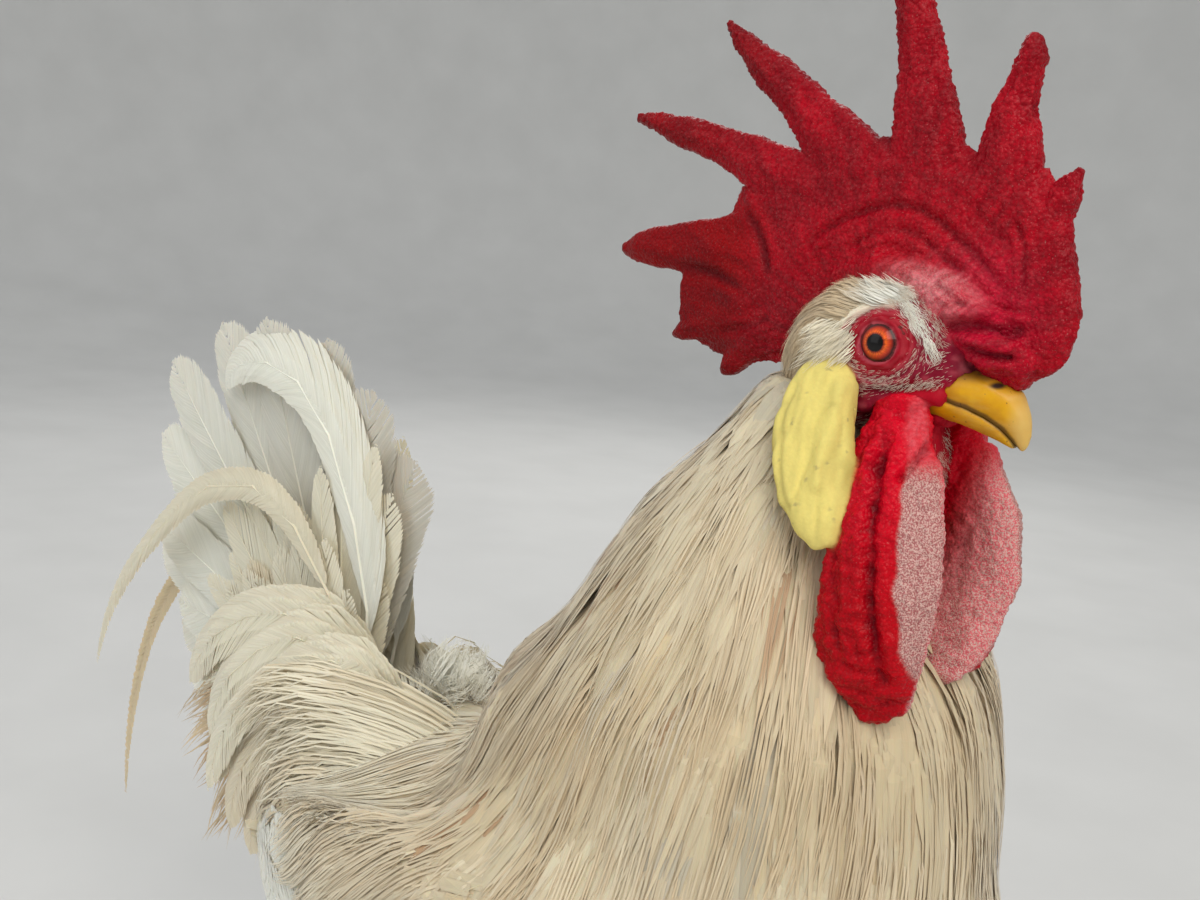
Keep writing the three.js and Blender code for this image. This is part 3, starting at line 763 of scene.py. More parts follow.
def flesh_look():
    """Bare skin: grained where "grain" is high, with painted shade in the pits between grains, moist where
    "wet" is, with pale stipple where "bloom" is.
    """
    look = Look("flesh", Subsurface_Weight=0.04, Subsurface_Scale=0.0015, Specular_IOR_Level=0.10)
    look.shader.inputs["Subsurface Radius"].default_value = (1.0, 0.2, 0.1)
    tone = look.attribute("tone", "Color")
    rugged = look.attribute("grain")
    speckle = look.noise(2600, 4)
    swing = look.times(look.minus(speckle, 0.5), look.times(rugged, 0.5))
    grain = look.grains(1100)
    # painted shade: darker in the pits between the grains
    pit_shade = look.times(look.span(grain, 0.4, 0.85), look.times(rugged, 0.16))
    shade = look.minus(look.plus(swing, 1.06), pit_shade)
    colour = look.shaded(tone, shade)
    dots = look.span(look.noise(2700, 2), 0.42, 0.60)
    stipple = look.times(look.attribute("bloom"), dots, True)
    colour = look.blend(stipple, colour, rgb(*BLOOM))
    specks = look.times(look.span(look.noise(3000, 2), 0.66, 0.72), look.times(rugged, 0.20))
    colour = look.blend(specks, colour, rgb(*BLOOM))
    wet = look.attribute("wet")
    rough = look.span(look.plus(wet, look.times(speckle, 0.35)), 0.1, 1.3, 0.62, 0.27)
    raised = look.minus(1.0, grain)
    soft = look.bump(look.times(raised, rugged), 0.0005, 0.6)
    fine = look.bump(look.times(look.noise(900, 5), look.plus(rugged, 0.3)), 0.0002, 0.4, soft)
    return look.feed(Base_Color=colour, Roughness=rough, Normal=fine)


def paint_points(obj, name, values):
    """Stores one number or colour for each point of a mesh."""
    values = np.asarray(values, np.float32)
    if values.ndim == 1:
        obj.data.attributes.new(name, "FLOAT", "POINT").data.foreach_set("value", values)
    else:
        full = np.ones((len(values), 4), np.float32)
        full[:, :3] = values
        obj.data.attributes.new(name, "FLOAT_COLOR", "POINT").data.foreach_set("color", full.ravel())


def shade_smooth(obj):
    obj.data.polygons.foreach_set("use_smooth", np.ones(len(obj.data.polygons), bool))


# ---------- studio, in metres ----------
BACKDROP = [  # distance from the middle, and height
    (0, 0), (0.6, 0), (1.4, 0), (2.6, 0), (3.2, 0.08), (3.7, 0.35), (4.0, 0.9), (4.1, 1.8), (4.1, 2.6),
]
LAMPS = [  # name, place, size, power, colour
    ("key", (1.5, -1.0, 1.9), 1.6, 34, (1.0, 0.96, 0.90)),
    ("fill", (-0.9, -2.0, 1.2), 1.8, 9, (0.95, 0.97, 1.0)),
    ("back", (-1.2, 1.7, 1.6), 1.4, 14, (1.0, 0.98, 0.95)),
]
LAMP_TARGET = np.array([0.06, 0.0, 0.28])
SKY = (0.95, 0.97, 1.0)
SKY_STRENGTH = 0.65


def backdrop(sides=96, rows=49):
    """A pale floor that curves up all round."""
    a = np.arange(sides) * 2 * math.pi / sides
    fine = spline(BACKDROP, np.linspace(0, 1, rows))[1:]
    fine[:, 1] = np.maximum(fine[:, 1], 0)
    v = np.stack([fine[:, :1] * np.cos(a), fine[:, :1] * np.sin(a), fine[:, 1:] * np.ones(sides)], axis=-1)
    first = np.arange(len(fine) - 1)[:, None] * sides
    k, k2 = np.arange(sides), (np.arange(sides) + 1) % sides
    quads = np.stack([first + k, first + sides + k, first + sides + k2, first + k2], axis=-1).reshape(-1, 4)
    centre = len(fine) * sides
    v = np.concatenate([v.reshape(-1, 3), [[0, 0, 0]]])
    hub = np.stack([k, k2, k * 0 + centre], axis=1)
    floor = add_mesh("floor", v, np.concatenate([triangles(quads), hub]), 1.0)
    shade_smooth(floor)
    look = Look("floor_paint", Roughness=0.85)
    mottled = look.span(look.noise(6, 4), 0.3, 0.7)
    colour = look.blend(mottled, rgb(0.60, 0.60, 0.585), rgb(0.64, 0.64, 0.625))
    floor.data.materials.append(look.feed(Base_Color=colour))


def lights():
    """Soft lamps and a pale sky."""
    world = bpy.data.worlds.new("studio")
    world.use_nodes = True
    world.node_tree.nodes["Background"].inputs["Color"].default_value = rgb(*SKY)
    world.node_tree.nodes["Background"].inputs["Strength"].default_value = SKY_STRENGTH
    bpy.context.scene.world = world
    for name, place, size, power, colour in LAMPS:
        data = bpy.data.lights.new(name, "AREA")
        data.size, data.energy, data.color = size, power, colour
        lamp = bpy.data.objects.new(name, data)
        turn = Vector(LAMP_TARGET - np.array(place)).to_track_quat("-Z", "Y")
        lamp.matrix_world = Matrix.Translation(place) @ turn.to_matrix().to_4x4()
        bpy.context.scene.collection.objects.link(lamp)


CAMERA_PLACE = HEAD / METRE + np.array([0.14007, -0.26521, 0.01849])  # set off from between the eyes
CAMERA_HEADING = math.radians(42)  # turned from +Y towards -X
CAMERA_DOWN = math.radians(10)
CAMERA_ROLL = math.radians(5)


def camera():
    """The photo's view: close to the head, tilted a little."""
    data = bpy.data.cameras.new("camera")
    data.lens, data.sensor_width, data.clip_start = 36.0, 36.0, 0.01
    obj = bpy.data.objects.new("camera", data)
    turn = (
        Matrix.Rotation(CAMERA_HEADING, 4, "Z")
        @ Matrix.Rotation(math.pi / 2 - CAMERA_DOWN, 4, "X")
        @ Matrix.Rotation(CAMERA_ROLL, 4, "Z")
    )
    obj.matrix_world = Matrix.Translation(CAMERA_PLACE) @ turn
    bpy.context.scene.collection.objects.link(obj)
    bpy.context.scene.camera = obj


# ---------- eyes ----------
IRIS = 4.05  # radius
PUPIL = 2.05
CORNEA = 0.35  # how far it stands out from the ball
EYE_AHEAD = 0.10  # how far the pupils turn forward, and up
EYE_UP = 0.02
BEHIND = 9.0  # the distance from the pupil that stands for the eyeball's rear half
PUPIL_BLACK = rgb(0.003, 0.002, 0.002)


def eyeball(side, rings=40, sides=64):
    """A glossy eye: a ball with a raised cornea; where a point lies on it is kept for the iris's pattern."""
    out = unit((LEFT if side == "L" else -LEFT) + EYE_AHEAD * FORE + EYE_UP * UP)
    fore = unit(np.cross(UP, out) * (1 if side == "R" else -1))
    up = np.cross(out, fore) if side == "L" else np.cross(fore, out)
    a = (np.arange(rings + 1) / rings) ** 1.3 * math.pi
    reach = np.full(rings + 1, EYE_BALL) + CORNEA * bump(a, 0, math.asin(IRIS / EYE_BALL) * 1.25)
    profile = [EYES[side] + reach[i] * math.cos(a[i]) * out for i in range(1, rings)]
    radii = np.stack([reach[1:-1] * np.sin(a[1:-1])] * 2, axis=1)
    ball = tube(np.array(profile), radii, fore, sides)
    ball.v[-2], ball.v[-1] = EYES[side] + reach[0] * out, EYES[side] - reach[-1] * out
    d = ball.v - EYES[side]
    seen = np.stack([d @ fore, d @ up, np.hypot(d @ fore, d @ up)], axis=1)
    seen[d @ out < 0, 2] = BEHIND
    obj = add_mesh("eyeball_" + side, ball.v, ball.f)
    shade_smooth(obj)
    paint_points(obj, "seen", seen / 10)  # in centimetres
    return obj


def eye_look():
    """A black pupil in an orange iris with spokes, and a dark rim."""
    look = Look("eye", Roughness=0.4, Coat_Weight=0.4, Coat_Roughness=0.02, Specular_IOR_Level=0.1)
    seen = look.attribute("seen", "Color")
    split = look.add("SeparateColor", Color=seen)
    wide, tall, reach = split.outputs
    length = look.math("MAXIMUM", reach, 0.001)
    round_x, round_y = (look.math("DIVIDE", part, length) for part in (wide, tall))
    turn = look.add("CombineXYZ", X=round_x, Y=round_y, Z=reach)
    spokes = look.noise(9.0, 5, turn.outputs[0])
    wobble = look.plus(reach, look.times(look.minus(spokes, 0.5), 0.05))
    ramp = look.add("ValToRGB", i0=wobble)
    stops = [  # distance from the pupil's middle, in centimetres
        (0.0, PUPIL_BLACK),
        (PUPIL / 10 - 0.004, PUPIL_BLACK),
        (PUPIL / 10 + 0.008, rgb(0.22, 0.02, 0.006)),
        (0.265, rgb(0.78, 0.12, 0.015)),
        (0.33, rgb(0.55, 0.045, 0.010)),
        (IRIS / 10 - 0.02, rgb(0.20, 0.010, 0.006)),
        (IRIS / 10 + 0.006, rgb(0.02, 0.004, 0.003)),
        (0.46, rgb(0.16, 0.02, 0.02)),
    ]
    elements = ramp.color_ramp.elements
    for element, stop in zip(elements, (stops[0], stops[-1])):
        element.position, element.color = stop
    for place, colour in stops[1:-1]:
        elements.new(place).color = colour
    streak = look.span(spokes, 0.35, 0.65, 0.7, 1.25)
    return look.feed(Base_Color=look.shaded(ramp.outputs[0], streak))


def eyes():
    """One eyeball on each side."""
    look = eye_look()
    for side in "LR":
        ball = eyeball(side)
        ball.data.materials.append(look)
        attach(ball, "root")
        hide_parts("eye_" + side)


# ---------- horn: bill, claws and spurs ----------
BILL_COLOURS = [(0.72, 0.37, 0.004), (0.56, 0.24, 0.003), (0.70, 0.47, 0.14)]  # pale, deep, tip
CLAW_COLOURS = [(0.62, 0.50, 0.30), (0.46, 0.34, 0.18), (0.30, 0.20, 0.12)]
SPUR_TIP = 78.0  # x of the spurs' tips


def horn_look(name, pale, deep, tip):
    """Blotched and streaked horn, the tip's colour where "tipward" is high, near black where "dark" is."""
    look = Look(name, Roughness=0.36, Specular_IOR_Level=0.3, Subsurface_Weight=0.08, Subsurface_Scale=0.001)
    worn = look.attribute("tipward")
    streaks = look.noise(260, 4, stretch=(0.25, 1.0, 1.0))
    blotch = look.span(look.noise(170, 4), 0.35, 0.7)
    colour = look.blend(blotch, rgb(*pale), rgb(*deep))
    colour = look.blend(look.times(look.span(streaks, 0.5, 0.72), 0.35), colour, rgb(*tip))
    colour = look.blend(worn, colour, rgb(*tip))
    nick = look.times(look.span(look.noise(900, 2), 0.70, 0.76), 0.75)
    colour = look.blend(nick, colour, rgb(0.12, 0.06, 0.02))
    dark = look.attribute("dark")
    colour = look.blend(dark, colour, rgb(0.035, 0.02, 0.016))
    rough = look.span(look.noise(500, 3), 0.3, 0.7, 0.28, 0.5)
    height = look.plus(look.times(streaks, 0.6), look.times(nick, -0.8))
    return look.feed(Base_Color=colour, Roughness=rough, Normal=look.bump(height, 0.0003, 0.5))


def horn_piece(node, look, voxel, tipward, dark=None, smooth=6, grow=0.1, relax=0):
    """A smooth piece of horn; tipward and dark give each point's share of the tip's colour and of black."""
    shape = remesh(cad(node, grow=grow), voxel).smooth(smooth)
    shape.v = shape.relaxed(shape.v, relax)
    shape.v = shape.v + (0.05 * noise(shape.v, (2.5, 2.5, 1.2), 71))[:, None] * shape.normals()
    obj = add_mesh("horn_" + node, shape.v, shape.f)
    shade_smooth(obj)
    paint_points(obj, "tipward", tipward(shape.v))
    paint_points(obj, "dark", dark(shape.v) if dark else np.zeros(len(shape.v)))
    obj.data.materials.append(look)
    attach(obj, "root")
    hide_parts(node)


def bill():
    """Both halves, with painted shade where they meet, dark at the nostril and at the base of the ridge."""
    look = horn_look("bill_horn", *BILL_COLOURS)
    other = {"bill_upper": cad("bill_lower").index(), "bill_lower": cad("bill_upper").index()}

    def tipward(v):
        q = to_head(v)
        return 0.75 * step(q[:, 0], 27.5, 31.5)

    def dark(node, v):
        q = to_head(v)
        spot = np.hypot((q[:, 0] - 25.0) / 1.5, (q[:, 2] + 6.6) / 0.8)
        base = step(q[:, 2], -7.2, -5.2) * step(24.5 - q[:, 0], 0, 2.5)
        # painted shade along the gape, where the two halves meet
        gape = 0.75 * step(1.05 - other[node].distance(v), 0, 0.6)
        return np.clip(1.3 * bump(spot, 0, 1.4) + 0.55 * base + gape, 0, 1)

    for node in other:
        near = functools.partial(dark, node)
        horn_piece(node, look, 0.42, tipward, near, smooth=20, grow=0.28, relax=26)


def claws_and_spurs():
    """Eight claws, darker away from their foot, and the two spurs."""
    look = horn_look("claw_horn", *CLAW_COLOURS)

    def spurtip(v):
        return step(SPUR_TIP - v[:, 0], 0, 10)

    for side in "LR":
        foot = middle("foot_" + side)
        for toe in ("inner", "middle", "outer", "hind"):
            node = f"claw_{toe}_{side}"
            centre = middle(node)
            away = unit(np.append((centre - foot)[:2], 0))

            def tipward(v, away=away, centre=centre):
                return step((v - centre) @ away, 0, 7)

            horn_piece(node, look, 0.4, tipward)
        horn_piece("spur_" + side, look, 0.45, spurtip)


# ---------- the coat: closed, three-sided strands laid on ribbons ----------
BAKE_PATCH = 0.003  # size of one tuft's patch on the OFBake map
STRAND_SHARE = 0.06  # half the share of that patch that one strand takes up
CELL_MARGIN = 0.02  # left free round each part of the map
CELLS = {  # where each part of the body's own unwrap lies on that map: left, bottom, width, height
    "neck": (0.0, 0.5, 0.5, 0.5),
    "trunk": (0.0, 0.0, 0.5, 0.5),
    "head": (0.5, 0.75, 0.5, 0.25),
    "wing_L": (0.5, 0.5, 0.25, 0.25),
    "wing_R": (0.75, 0.5, 0.25, 0.25),
    "leg": (0.5, 0.35, 0.5, 0.15),
    "tail": (0.5, 0.0, 0.5, 0.35),
}


def cell(name, a, b):
    """Where a, b (0..1 across and up a part of the body) lies on the map."""
    left, low, wide, high = CELLS[name]
    a, b = (CELL_MARGIN + (1 - 2 * CELL_MARGIN) * np.clip(x, 0, 1) for x in (a, b))
    return np.stack([left + a * wide, low + b * high], axis=1)


def strand_faces(rings):
    """Triangles of one strand: rings of three points, closed at the root and drawn to a point at the tip."""
    f = [(0, 2, 1)]
    for r in range(rings - 1):
        for a, b in ((0, 1), (1, 2), (2, 0)):
            f += [(3 * r + a, 3 * r + b, 3 * r + 3 + b), (3 * r + a, 3 * r + 3 + b, 3 * r + 3 + a)]
    last, tip = 3 * (rings - 1), 3 * rings
    f += [(last, last + 1, tip), (last + 1, last + 2, tip), (last + 2, last, tip)]
    return np.array(f)


class Coat:
    """One joined mesh of strands with its colours and its OFBake map."""

    def __init__(self, name, look, slot):
        self.name, self.look, self.slot = name, look, slot
        self.v, self.f, self.uv, self.lie, self.tone = [], [], [], [], []
        self.count = 0

    def strands(self, centre, up, half, thick, place, across, along, tone):
        """Adds N strands of K points.

        centre, up and tone are (N, K, 3); half, thick, across and along (N, K); place is (N, 2).
        """
        n, k = half.shape
        ahead = np.empty_like(centre)
        ahead[:, 1:-1] = centre[:, 2:] - centre[:, :-2]
        ahead[:, 0], ahead[:, -1] = centre[:, 1] - centre[:, 0], centre[:, -1] - centre[:, -2]
        side = unit(np.cross(ahead, up))
        up = unit(np.cross(side, ahead))
        edge, top = side * half[..., None], up * thick[..., None]
        ring = np.stack([centre - edge, centre + edge, centre + top], axis=2)[:, : k - 1]
        v = np.concatenate([ring.reshape(n, -1, 3), centre[:, -1:]], axis=1)
        f = strand_faces(k - 1)[None] + (self.count + np.arange(n) * v.shape[1])[:, None, None]
        edges = [across - STRAND_SHARE, across + STRAND_SHARE, across]
        reach = np.stack(edges, axis=2)[:, : k - 1].reshape(n, -1)
        local = np.stack([np.concatenate([reach, across[:, -1:]], 1), self.per_point(along)], axis=2)
        uv = place[:, None] + (np.clip(local, 0, 1) - 0.5) * BAKE_PATCH
        run = np.cumsum(np.linalg.norm(np.diff(centre, axis=1, prepend=centre[:, :1]), axis=2), axis=1)
        offset = np.stack([-half, half, 0 * half], axis=2)[:, : k - 1].reshape(n, -1)
        own = (self.count + np.arange(n)) * 0.37 % 50  # sets a strand's stripes apart from its neighbours'
        own = np.broadcast_to(own[:, None], (n, v.shape[1]))
        lie = np.stack([np.concatenate([offset, 0 * half[:, -1:]], 1), self.per_point(run), own], axis=2)
        self.v.append(v.reshape(-1, 3))
        self.f.append(f.reshape(-1, 3))
        self.uv.append(uv.reshape(-1, 2))
        self.lie.append(lie.reshape(-1, 3))
        self.tone.append(self.per_point(tone).reshape(-1, 3))
        self.count += n * v.shape[1]

    @staticmethod
    def per_point(values):
        """Repeats a ring's value for its three points; the tip has one."""
        ring = np.repeat(values[:, :-1], 3, axis=1)
        return np.concatenate([ring, values[:, -1:]], axis=1)

    def build(self, *nodes):
        """Makes the object; nodes are the CAD nodes that it stands for."""
        v, f = np.concatenate(self.v), np.concatenate(self.f)
        obj = add_mesh(self.name, v, f)
        uv = np.concatenate(self.uv)[f.ravel()]
        obj.data.uv_layers.new(name="OFBake").data.foreach_set("uv", uv.astype(np.float32).ravel())
        paint_points(obj, "tone", np.concatenate(self.tone))
        lie = np.concatenate(self.lie).astype(np.float32)
        obj.data.attributes.new("lie", "FLOAT_VECTOR", "POINT").data.foreach_set("vector", lie.ravel())
        obj.data.shade_flat()
        obj.data.materials.append(self.look)
        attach(obj, "root")
        if nodes:
            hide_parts(*nodes)


class Ribbons:
    """Lines along a surface, each with a side and an up direction: a feather's middle line."""

    def __init__(self, centre, up, length):
        self.centre, self.up, self.length = centre, up, np.asarray(length, float)
        ahead = np.gradient(centre, axis=1)
        self.side = unit(np.cross(ahead, up))

    def at(self, s, a, h):
        """Points at s (0..1 along), a mm aside and h mm above; s, a, h are (M, C, K)."""
        m, p = self.centre.shape[:2]
        x = s * (p - 1)
        i = np.clip(np.floor(x).astype(int), 0, p - 2)
        t = (x - i)[..., None]
        row = np.arange(m)[:, None, None]
        given = (self.centre, self.side, self.up)
        centre, side, up = ((1 - t) * g[row, i] + t * g[row, i + 1] for g in given)
        return centre + side * a[..., None] + up * h[..., None], up


def march(surface, root, flow, length, points, lift):
    """Lines that start at root and follow flow over a surface; lift (M, points) is their height over it."""
    p = np.array(root, float)
    centre, up = [], []
    for k in range(points):
        where, n = surface.nearest(p)
        along = square_to(flow(where), n)
        centre.append(where + n * lift[:, k : k + 1])
        up.append(n)
        p = where + along * (length / (points - 1))[:, None]
    return Ribbons(np.stack(centre, 1), np.stack(up, 1), length)


def scatter(surface, count, weight, rng):
    """Random points on a surface, by area and by one weight for each of its triangles."""
    a, b, c = (surface.v[surface.f[:, i]] for i in range(3))
    area = np.cumsum(np.linalg.norm(np.cross(b - a, c - a), axis=1) * weight)
    pick = np.searchsorted(area / area[-1], rng.random(count))
    u, w = rng.random((2, count, 1))
    flip = u + w > 1
    u, w = np.where(flip, 1 - u, u), np.where(flip, 1 - w, w)
    return a[pick] * (1 - u - w) + b[pick] * u + c[pick] * w


def locks(coat, ribbons, place, tone, rng, children, spread, half, rings, rise=0.2, wave=0.4):
    """Silky hackle feathers: long strands side by side that draw together towards the tip.

    children is the number of strands in a feather, spread how far they lie to each side, half their half
    width, rise how unevenly high they lie and wave how far they sway.
    """
    m = len(ribbons.length)
    u = np.linspace(0, 1, rings + 1)[None, None]
    first = rng.uniform(0.0, 0.16, (m, children, 1))
    last = rng.uniform(0.62, 1.03, (m, children, 1))
    s = first + (last - first) * u
    a0 = np.linspace(-1, 1, children)[None, :, None] + rng.uniform(-0.35, 0.35, (m, children, 1))
    spread = np.broadcast_to(np.asarray(spread, float), (m,))[:, None, None]
    shape = np.interp(s, [0, 0.25, 0.55, 0.85, 1.05], [0.55, 0.95, 1.0, 0.62, 0.25])
    phase = rng.uniform(0, 2 * math.pi, (m, children, 1))
    sway = wave * np.sin(s * rng.uniform(2, 7, (m, children, 1)) + phase) * s
    a = a0 * shape * spread + sway
    h = rise * (rng.random((m, children, 1)) - 0.35) * (0.3 + s) - 0.12 * spread * a0**2
    centre, up = ribbons.at(s, a, h)
    n = m * children
    half = half * rng.uniform(0.65, 1.3, (n, 1)) * np.interp(u[0], [0, 0.12, 0.6, 1], [0.7, 1, 0.85, 0.2])
    coat.strands(
        centre.reshape(n, -1, 3),
        up.reshape(n, -1, 3),
        half,
        half * 0.10,
        np.repeat(place, children, axis=0),
        np.clip(0.5 + 0.5 * (a0 + 0 * s), 0, 1).reshape(n, -1),
        np.clip(s, 0, 1).reshape(n, -1),
        tone(s, a0 + 0 * s).reshape(n, -1, 3),
    )


# A vane's edge from its root to its tip: how far round, how far along, and how far aside, pointed and blunt.
EDGE_ROUND = [0, 0.08, 0.2, 0.5, 0.78, 0.88, 0.94, 1.0]
EDGE_POINTED = [
    [0.05, 0.13, 0.25, 0.54, 0.81, 0.91, 0.96, 1.0],
    [0.25, 0.70, 0.92, 1.0, 0.74, 0.46, 0.26, 0.0],
]
EDGE_BLUNT = [
    [0.05, 0.13, 0.25, 0.56, 0.87, 0.955, 0.985, 1.0],
    [0.25, 0.70, 0.90, 1.0, 0.96, 0.76, 0.46, 0.0],
]


def vanes(
    coat, ribbons, place, tone, rng, width, barbs, angle, rings, cup=0.1, rise=0.10, bare=0.08, blunt=0.0,
    split=0.0, shaft=0.45, lean=0.0, patch=None,
):
    """Feathers of a shaft with barbs on both sides that together make a vane.

    width is half the vane's and shaft half the shaft's (0 for none); angle is between barbs and shaft. cup
    bends the edges down, rise roughens the vane, bare is the shaft's share without barbs, split parts the
    barbs into tufts, and lean widens one side.
    """
    m = len(ribbons.length)
    width = np.broadcast_to(np.asarray(width, float), (m,))[:, None, None]
    length = ribbons.length[:, None, None]
    q = np.tile(np.linspace(0.02, 1.0, barbs), 2)[None, :, None]
    q = np.clip(q + rng.uniform(-0.2, 0.2, (m, 2 * barbs, 1)) / barbs, 0, 1)
    sign = np.repeat([-1.0, 1.0], barbs)[None, :, None]
    edge = [(1 - blunt) * np.array(p) + blunt * np.array(b) for p, b in zip(EDGE_POINTED, EDGE_BLUNT)]
    tip = bare + (1 - bare) * np.interp(q, EDGE_ROUND, edge[0])
    aside = np.interp(q, EDGE_ROUND, edge[1]) * (1 + lean * sign)
    tuft = np.round(tip * length / 8 + rng.uniform(0, 1, (m, 1, 1))) + 0 * sign
    spot = np.stack([tuft * 1.7, sign * 7.3 + 0 * tuft, np.arange(m)[:, None, None] * 3.7 + 0 * tuft], -1)
    gap = split * noise(spot.reshape(-1, 3), 1.0, 81).reshape(tuft.shape)
    root = np.maximum(tip - aside * width / math.tan(math.radians(angle)) / length, 0.3 * bare)
    tip = tip + 0.12 * gap * width / length + rng.uniform(-0.4, 0.4, tip.shape) / length
    aside = aside * width * (1 + 0.07 * gap + rng.uniform(-0.03, 0.03, tip.shape))
    u = np.append(np.linspace(0, 0.9, rings), 1.0)[None, None]
    s = root + (tip - root) * (0.85 * u + 0.15 * u**2)
    a = sign * (aside * (1.15 * u - 0.15 * u**2) - 0.25)
    h = rise * (rng.random((m, 2 * barbs, 1)) - 0.5) * (0.3 + u) - cup * a**2 / width + 0.12 * (1 - u) * shaft
    centre, up = ribbons.at(s, a, h)
    n = m * 2 * barbs
    half = 1.15 * (1 - bare) * length / barbs * math.sin(math.radians(angle)) + 0 * sign
    slim = np.interp(u[0], [0, 0.3, 0.9, 1], [0.9, 1, 0.9, 0.3])
    wide = half.reshape(n, 1) * rng.uniform(0.9, 1.15, (n, 1)) * slim
    if patch is None:
        spot = np.repeat(place, 2 * barbs, axis=0)
    else:
        spot = patch(root[..., 0], sign[..., 0] * 0.5 + 0.5)
    coat.strands(
        centre.reshape(n, -1, 3),
        up.reshape(n, -1, 3),
        wide,
        np.minimum(wide * 0.09, 0.10),
        spot,
        np.clip(0.5 + 0.5 * a / (width * (1 + abs(lean)) + 0.1), 0, 1).reshape(n, -1),
        np.clip(s, 0, 1).reshape(n, -1),
        tone(np.clip(s, 0, 1), a / width).reshape(n, -1, 3),
    )
    if shaft:
        u = np.linspace(0, 0.97, rings + 4)[None, None] + np.zeros((m, 1, 1))
        centre, up = ribbons.at(u, 0 * u, 0 * u + 0.18)
        wide = shaft * np.interp(u[:, 0], [0, 0.6, 1], [1.0, 0.6, 0.15])
        spot = place if patch is None else patch(u[:, 0, :1] * 0, u[:, 0, :1] * 0 + 0.5)
        shade = np.minimum(tone(u, 0 * u)[:, 0] * 1.06, 0.95)
        coat.strands(centre[:, 0], up[:, 0], wide, wide * 0.8, spot, 0 * wide + 0.5, u[:, 0], shade)


# ---------- plumage colours, linear ----------
IVORY = np.array([0.65, 0.525, 0.345])
CREAM = np.array([0.84, 0.77, 0.60])
WHITE = np.array([0.88, 0.865, 0.78])
BUFF = np.array([0.66, 0.49, 0.30])
GREY = np.array([0.52, 0.47, 0.40])
RUST = np.array([0.42, 0.20, 0.09])


def plumage(base, rng, vary, buff=0.14, grey=0.05, rust=0.0):
    """Gives each feather its own tint; returns the function that colours its barbs along and across."""
    m = len(base)
    tint = base.copy()
    chance = rng.random(m)
    for odds, colour, most in ((buff, BUFF, 0.6), (grey, GREY, 0.5), (rust, RUST, 0.75)):
        hit = (chance < odds) * rng.uniform(0.3, 1.0, m) * most
        tint = mix(tint, colour, hit)
        chance = np.where(chance < odds, 2.0, chance - odds)
    tint *= rng.uniform(1 - vary, 1 + vary * 0.6, (m, 1))

    def tone(s, a):
        shape = np.broadcast_shapes(s.shape, a.shape)
        s, a = np.broadcast_to(s, shape), np.broadcast_to(a, shape)
        each = rng.uniform(1 - 0.8 * vary, 1 + 0.6 * vary, (*shape[:2], 1))
        base_shade = 0.88 + 0.14 * step(s, 0.0, 0.45)
        shaft = 1 - 0.05 * np.exp(-((a / 0.12) ** 2))
        return np.clip(tint[:, None, None] * (each * base_shade * shaft)[..., None], 0.01, 0.93)

    return tone


def feather_look(name, rough=0.6, sheen=0.3, fine=4.0, depth=0.35):
    """Barbs finer than the mesh: stripes along each strand, in colour and in relief."""
    look = Look(
        name, Roughness=rough, Specular_IOR_Level=0.35, Subsurface_Weight=0.12, Subsurface_Scale=0.002,
        Sheen_Weight=sheen, Sheen_Roughness=0.45,
    )
    tone = look.attribute("tone", "Color")
    lie = look.attribute("lie", "Vector")
    barb = look.noise(1.0, 2, lie, (fine, 0.05, 1.0))
    streak = look.noise(1.0, 2, lie, (1.1, 0.03, 1.0))
    broad = look.noise(45, 3)
    shade = look.plus(look.times(barb, 0.8), look.times(streak, 0.5))
    shade = look.span(look.plus(shade, look.times(broad, 0.4)), 0.55, 1.15, 0.90, 1.08)
    warm = look.span(shade, 0.84, 1.1, 0.95, 1.0)
    colour = look.shaded(tone, shade, look.times(shade, warm))
    satin = look.span(barb, 0.3, 0.7, rough + 0.08, rough - 0.08)
    return look.feed(Base_Color=colour, Roughness=satin, Normal=look.bump(barb, 0.00008, depth))


# ---------- the body's shape and the lie of the coat ----------
NECK_LINE = [  # height, and x and y of the neck's middle
    (230, 134, 0), (290, 152, 0), (344, 162, -4), (370, 165, -9), (394, 171, -13), (430, 176, -14),
]
CROWN = HEAD + np.array([-14.0, 0.0, 10.0])  # hackle feathers fan out from here
TAIL = middle("tail_fan") + np.array([69.4, 0.0, -50.6])  # where the tail feathers come together
WING_LINE = [  # x, middle height, half height of the folded wing
    (-44, 217, 3), (-24, 216, 15), (6, 218, 26), (50, 226, 36), (100, 236, 42), (146, 246, 40),
    (184, 252, 30), (197, 252, 15),
]
TRUNK_AXIS = 232.0  # its height
LEG_AXIS = (95.0, 40.0)  # x, and distance to the side
BODY_NODES = ["neck", "trunk", "thigh_L", "thigh_R", "wing_L", "wing_R"]


class Body(Surface):
    """The coat's outline, its creases bridged, with the CAD node that each triangle belongs to."""

    def __init__(self, voxel=3.5, bridge=8.0):
        made = remesh(cad(*BODY_NODES, grow=0.3), voxel)
        for shift in (bridge, bridge, -bridge, -bridge):
            made.v = made.v + shift * unit(made.relaxed(made.normals(), 3))
            made = remesh(made, voxel).smooth(4)
        super().__init__(made.v, triangles(made.f))
        self.index()
        self.middles = self.v[self.f].mean(axis=1)
        far = [cad(name).index().distance(self.middles) for name in BODY_NODES]
        self.zone = np.argmin(far, axis=0)

    def on(self, *names):
        """1 for the triangles of these CAD nodes, 0 for the others."""
        return np.isin(self.zone, [BODY_NODES.index(n) for n in names]).astype(float)


def follow(rows, x):
    """The other columns of a table, interpolated at x in its first column."""
    first, *others = np.transpose(rows)
    return [np.interp(x, first, other) for other in others]


def place_on_neck(p):
    """Where points of the neck lie on the OFBake map; the next three are for trunk, legs and wings."""
    x, y = follow(NECK_LINE, p[:, 2])
    return cell("neck", bearing(p[:, 1] - y, p[:, 0] - x), share(p[:, 2], 200, 440))


